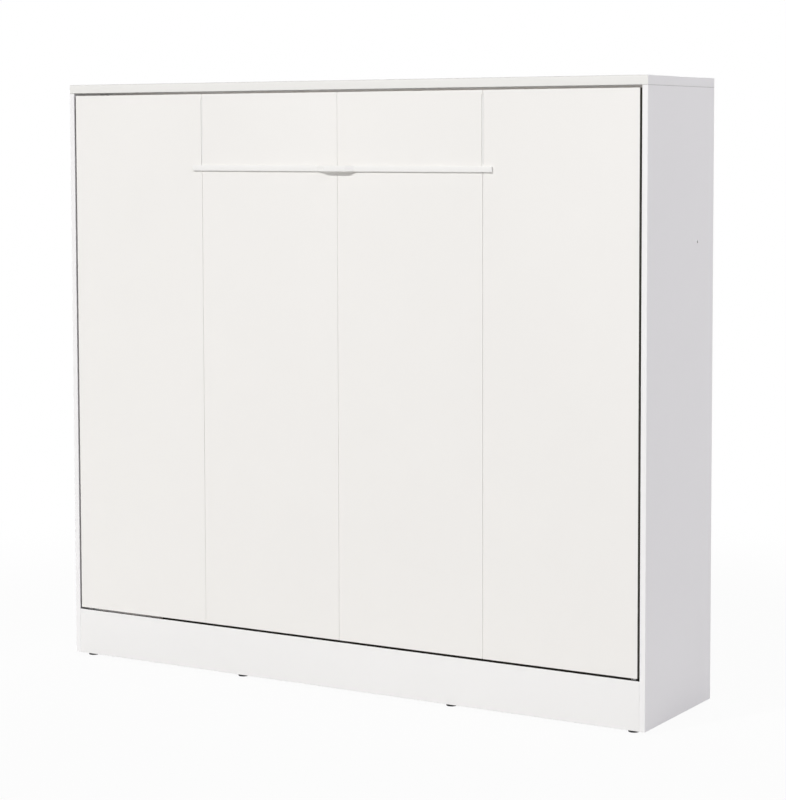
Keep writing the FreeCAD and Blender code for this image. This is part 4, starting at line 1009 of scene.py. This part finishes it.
class WALLBED_OT_stage(bpy.types.Operator):
    """Set the camera, the light and the floor"""
    bl_idname = "wallbed.stage"
    bl_label = "Stage"
    light_values = ("turn", "height", "size", "power", "colour")

    def execute(self, context):
        stage = context.scene.wallbed_stage
        context.scene.view_settings.view_transform = "Standard"
        self.camera(context, stage)
        for light in ("key", "fill", "back"):
            values = [getattr(stage, light + "_" + value) for value in self.light_values]
            self.distant_light(context, light + "_light", *values)
        self.sky(context, stage)
        self.floor(context, stage)
        return {"FINISHED"}

    @staticmethod
    def camera(context, stage):
        """Camera that looks ahead, turned left by yaw, down by pitch and tilted by roll."""
        ahead = Vector((-math.sin(stage.yaw) * math.cos(stage.pitch),
                        math.cos(stage.yaw) * math.cos(stage.pitch), -math.sin(stage.pitch)))
        level = Vector((math.cos(stage.yaw), math.sin(stage.yaw), 0))
        upright = level.cross(ahead)
        right = math.cos(stage.roll) * level + math.sin(stage.roll) * upright
        up = math.cos(stage.roll) * upright - math.sin(stage.roll) * level
        data = bpy.data.cameras.new("camera")
        data.lens = stage.lens
        data.shift_y = stage.shift
        camera = bpy.data.objects.new("camera", data)
        axes = Matrix((right, up, -ahead)).transposed().to_4x4()
        camera.matrix_world = Matrix.Translation(stage.camera_place) @ axes
        context.scene.collection.objects.link(camera)
        context.scene.camera = camera

    @staticmethod
    def distant_light(context, name, turn, height, width, power, rgb):
        """Distant light, turned to the right of the front and raised by the given angles."""
        data = bpy.data.lights.new(name, "SUN")
        data.energy = power
        data.angle = width
        data.color = rgb
        light = bpy.data.objects.new(name, data)
        towards = Vector((math.sin(turn) * math.cos(height), -math.cos(turn) * math.cos(height),
                          math.sin(height)))
        light.rotation_euler = towards.to_track_quat("Z", "Y").to_euler()
        context.scene.collection.objects.link(light)

    @staticmethod
    def seen_directly(tree):
        """1 for rays from the camera and for those that gloss or glass sends on, else 0."""
        path = add_node(tree, "LightPath").outputs
        glossy = add_node(tree, "Math", {0: path["Is Camera Ray"], 1: path["Is Glossy Ray"]},
                          operation="MAXIMUM")
        return add_node(tree, "Math", {0: glossy, 1: path["Is Transmission Ray"]}, operation="MAXIMUM")

    def sky(self, context, stage):
        """White where it is seen, softer where it lights."""
        world = bpy.data.worlds.new("studio")
        tree = empty_tree(world)
        strength = add_node(tree, "MapRange", {"Value": self.seen_directly(tree), "To Min": stage.sky_power,
                                               "To Max": 1.0})
        white = add_node(tree, "Background", {"Color": WHITE, "Strength": strength})
        add_node(tree, "OutputWorld", {"Surface": white})
        context.scene.world = world

    def floor(self, context, stage):
        """Pale floor that keeps a faint shadow near the object and clears to white further away."""
        material = bpy.data.materials.new("studio_floor")
        tree = empty_tree(material)
        pale = add_node(tree, "BsdfDiffuse", {"Color": shade(stage.floor_colour)})
        white = add_node(tree, "Emission", {"Color": WHITE, "Strength": 1.0})
        place = add_node(tree, "TexCoord").outputs["Object"]
        away = add_node(tree, "VectorMath", {0: place}, operation="LENGTH")
        clear = add_node(tree, "MapRange", {
            "Value": away, "From Min": stage.floor_near, "From Max": stage.floor_clear,
            "To Min": stage.floor_white, "To Max": 1.0}, interpolation_type="SMOOTHSTEP")
        wash = add_node(tree, "Math", {0: self.seen_directly(tree), 1: clear}, operation="MULTIPLY")
        mixed = add_node(tree, "MixShader", {0: wash, 1: pale, 2: white})
        add_node(tree, "OutputMaterial", {"Surface": mixed})
        half = stage.floor_half
        mesh = bpy.data.meshes.new("studio_floor")
        mesh.from_pydata([(-half, -half, 0), (half, -half, 0), (half, half, 0), (-half, half, 0)], [],
                         [(0, 1, 2, 3)])
        mesh.materials.append(material)
        floor = bpy.data.objects.new("studio_floor", mesh)
        context.scene.collection.objects.link(floor)


class WALLBED_PT_sidebar(bpy.types.Panel):
    """The wall bed's pieces and its stage"""
    bl_idname = "WALLBED_PT_sidebar"
    bl_label = "Wall bed"
    bl_space_type = "VIEW_3D"
    bl_region_type = "UI"
    bl_category = "Wall bed"

    def draw(self, context):
        for operator in OPERATORS:
            self.layout.operator(operator.bl_idname)
        scene = context.scene
        for group in (scene.wallbed_colours, scene.wallbed_sizes, scene.wallbed_stage):
            for name in group.__annotations__:
                self.layout.prop(group, name)


OPERATORS = (WALLBED_OT_boards, WALLBED_OT_front, WALLBED_OT_fittings, WALLBED_OT_screws, WALLBED_OT_bolts,
             WALLBED_OT_feet, WALLBED_OT_frame, WALLBED_OT_slats, WALLBED_OT_caps, WALLBED_OT_straps,
             WALLBED_OT_struts, WALLBED_OT_leg, WALLBED_OT_stage)
CLASSES = (WallBedColours, WallBedSizes, WallBedStage, *OPERATORS, WALLBED_PT_sidebar)


def register():
    for cls in CLASSES:
        bpy.utils.register_class(cls)
    bpy.types.Scene.wallbed_colours = PointerProperty(type=WallBedColours)
    bpy.types.Scene.wallbed_sizes = PointerProperty(type=WallBedSizes)
    bpy.types.Scene.wallbed_stage = PointerProperty(type=WallBedStage)


def unregister():
    del bpy.types.Scene.wallbed_stage
    del bpy.types.Scene.wallbed_sizes
    del bpy.types.Scene.wallbed_colours
    for cls in reversed(CLASSES):
        bpy.utils.unregister_class(cls)


def main():
    """Builds every piece and the stage."""
    register()
    bpy.ops.wallbed.boards()
    bpy.ops.wallbed.front()
    bpy.ops.wallbed.fittings()
    bpy.ops.wallbed.screws()
    bpy.ops.wallbed.bolts()
    bpy.ops.wallbed.feet()
    bpy.ops.wallbed.frame()
    bpy.ops.wallbed.slats()
    bpy.ops.wallbed.caps()
    bpy.ops.wallbed.straps()
    bpy.ops.wallbed.struts()
    bpy.ops.wallbed.leg()
    bpy.ops.wallbed.stage()


if __name__ == "__main__":
    main()
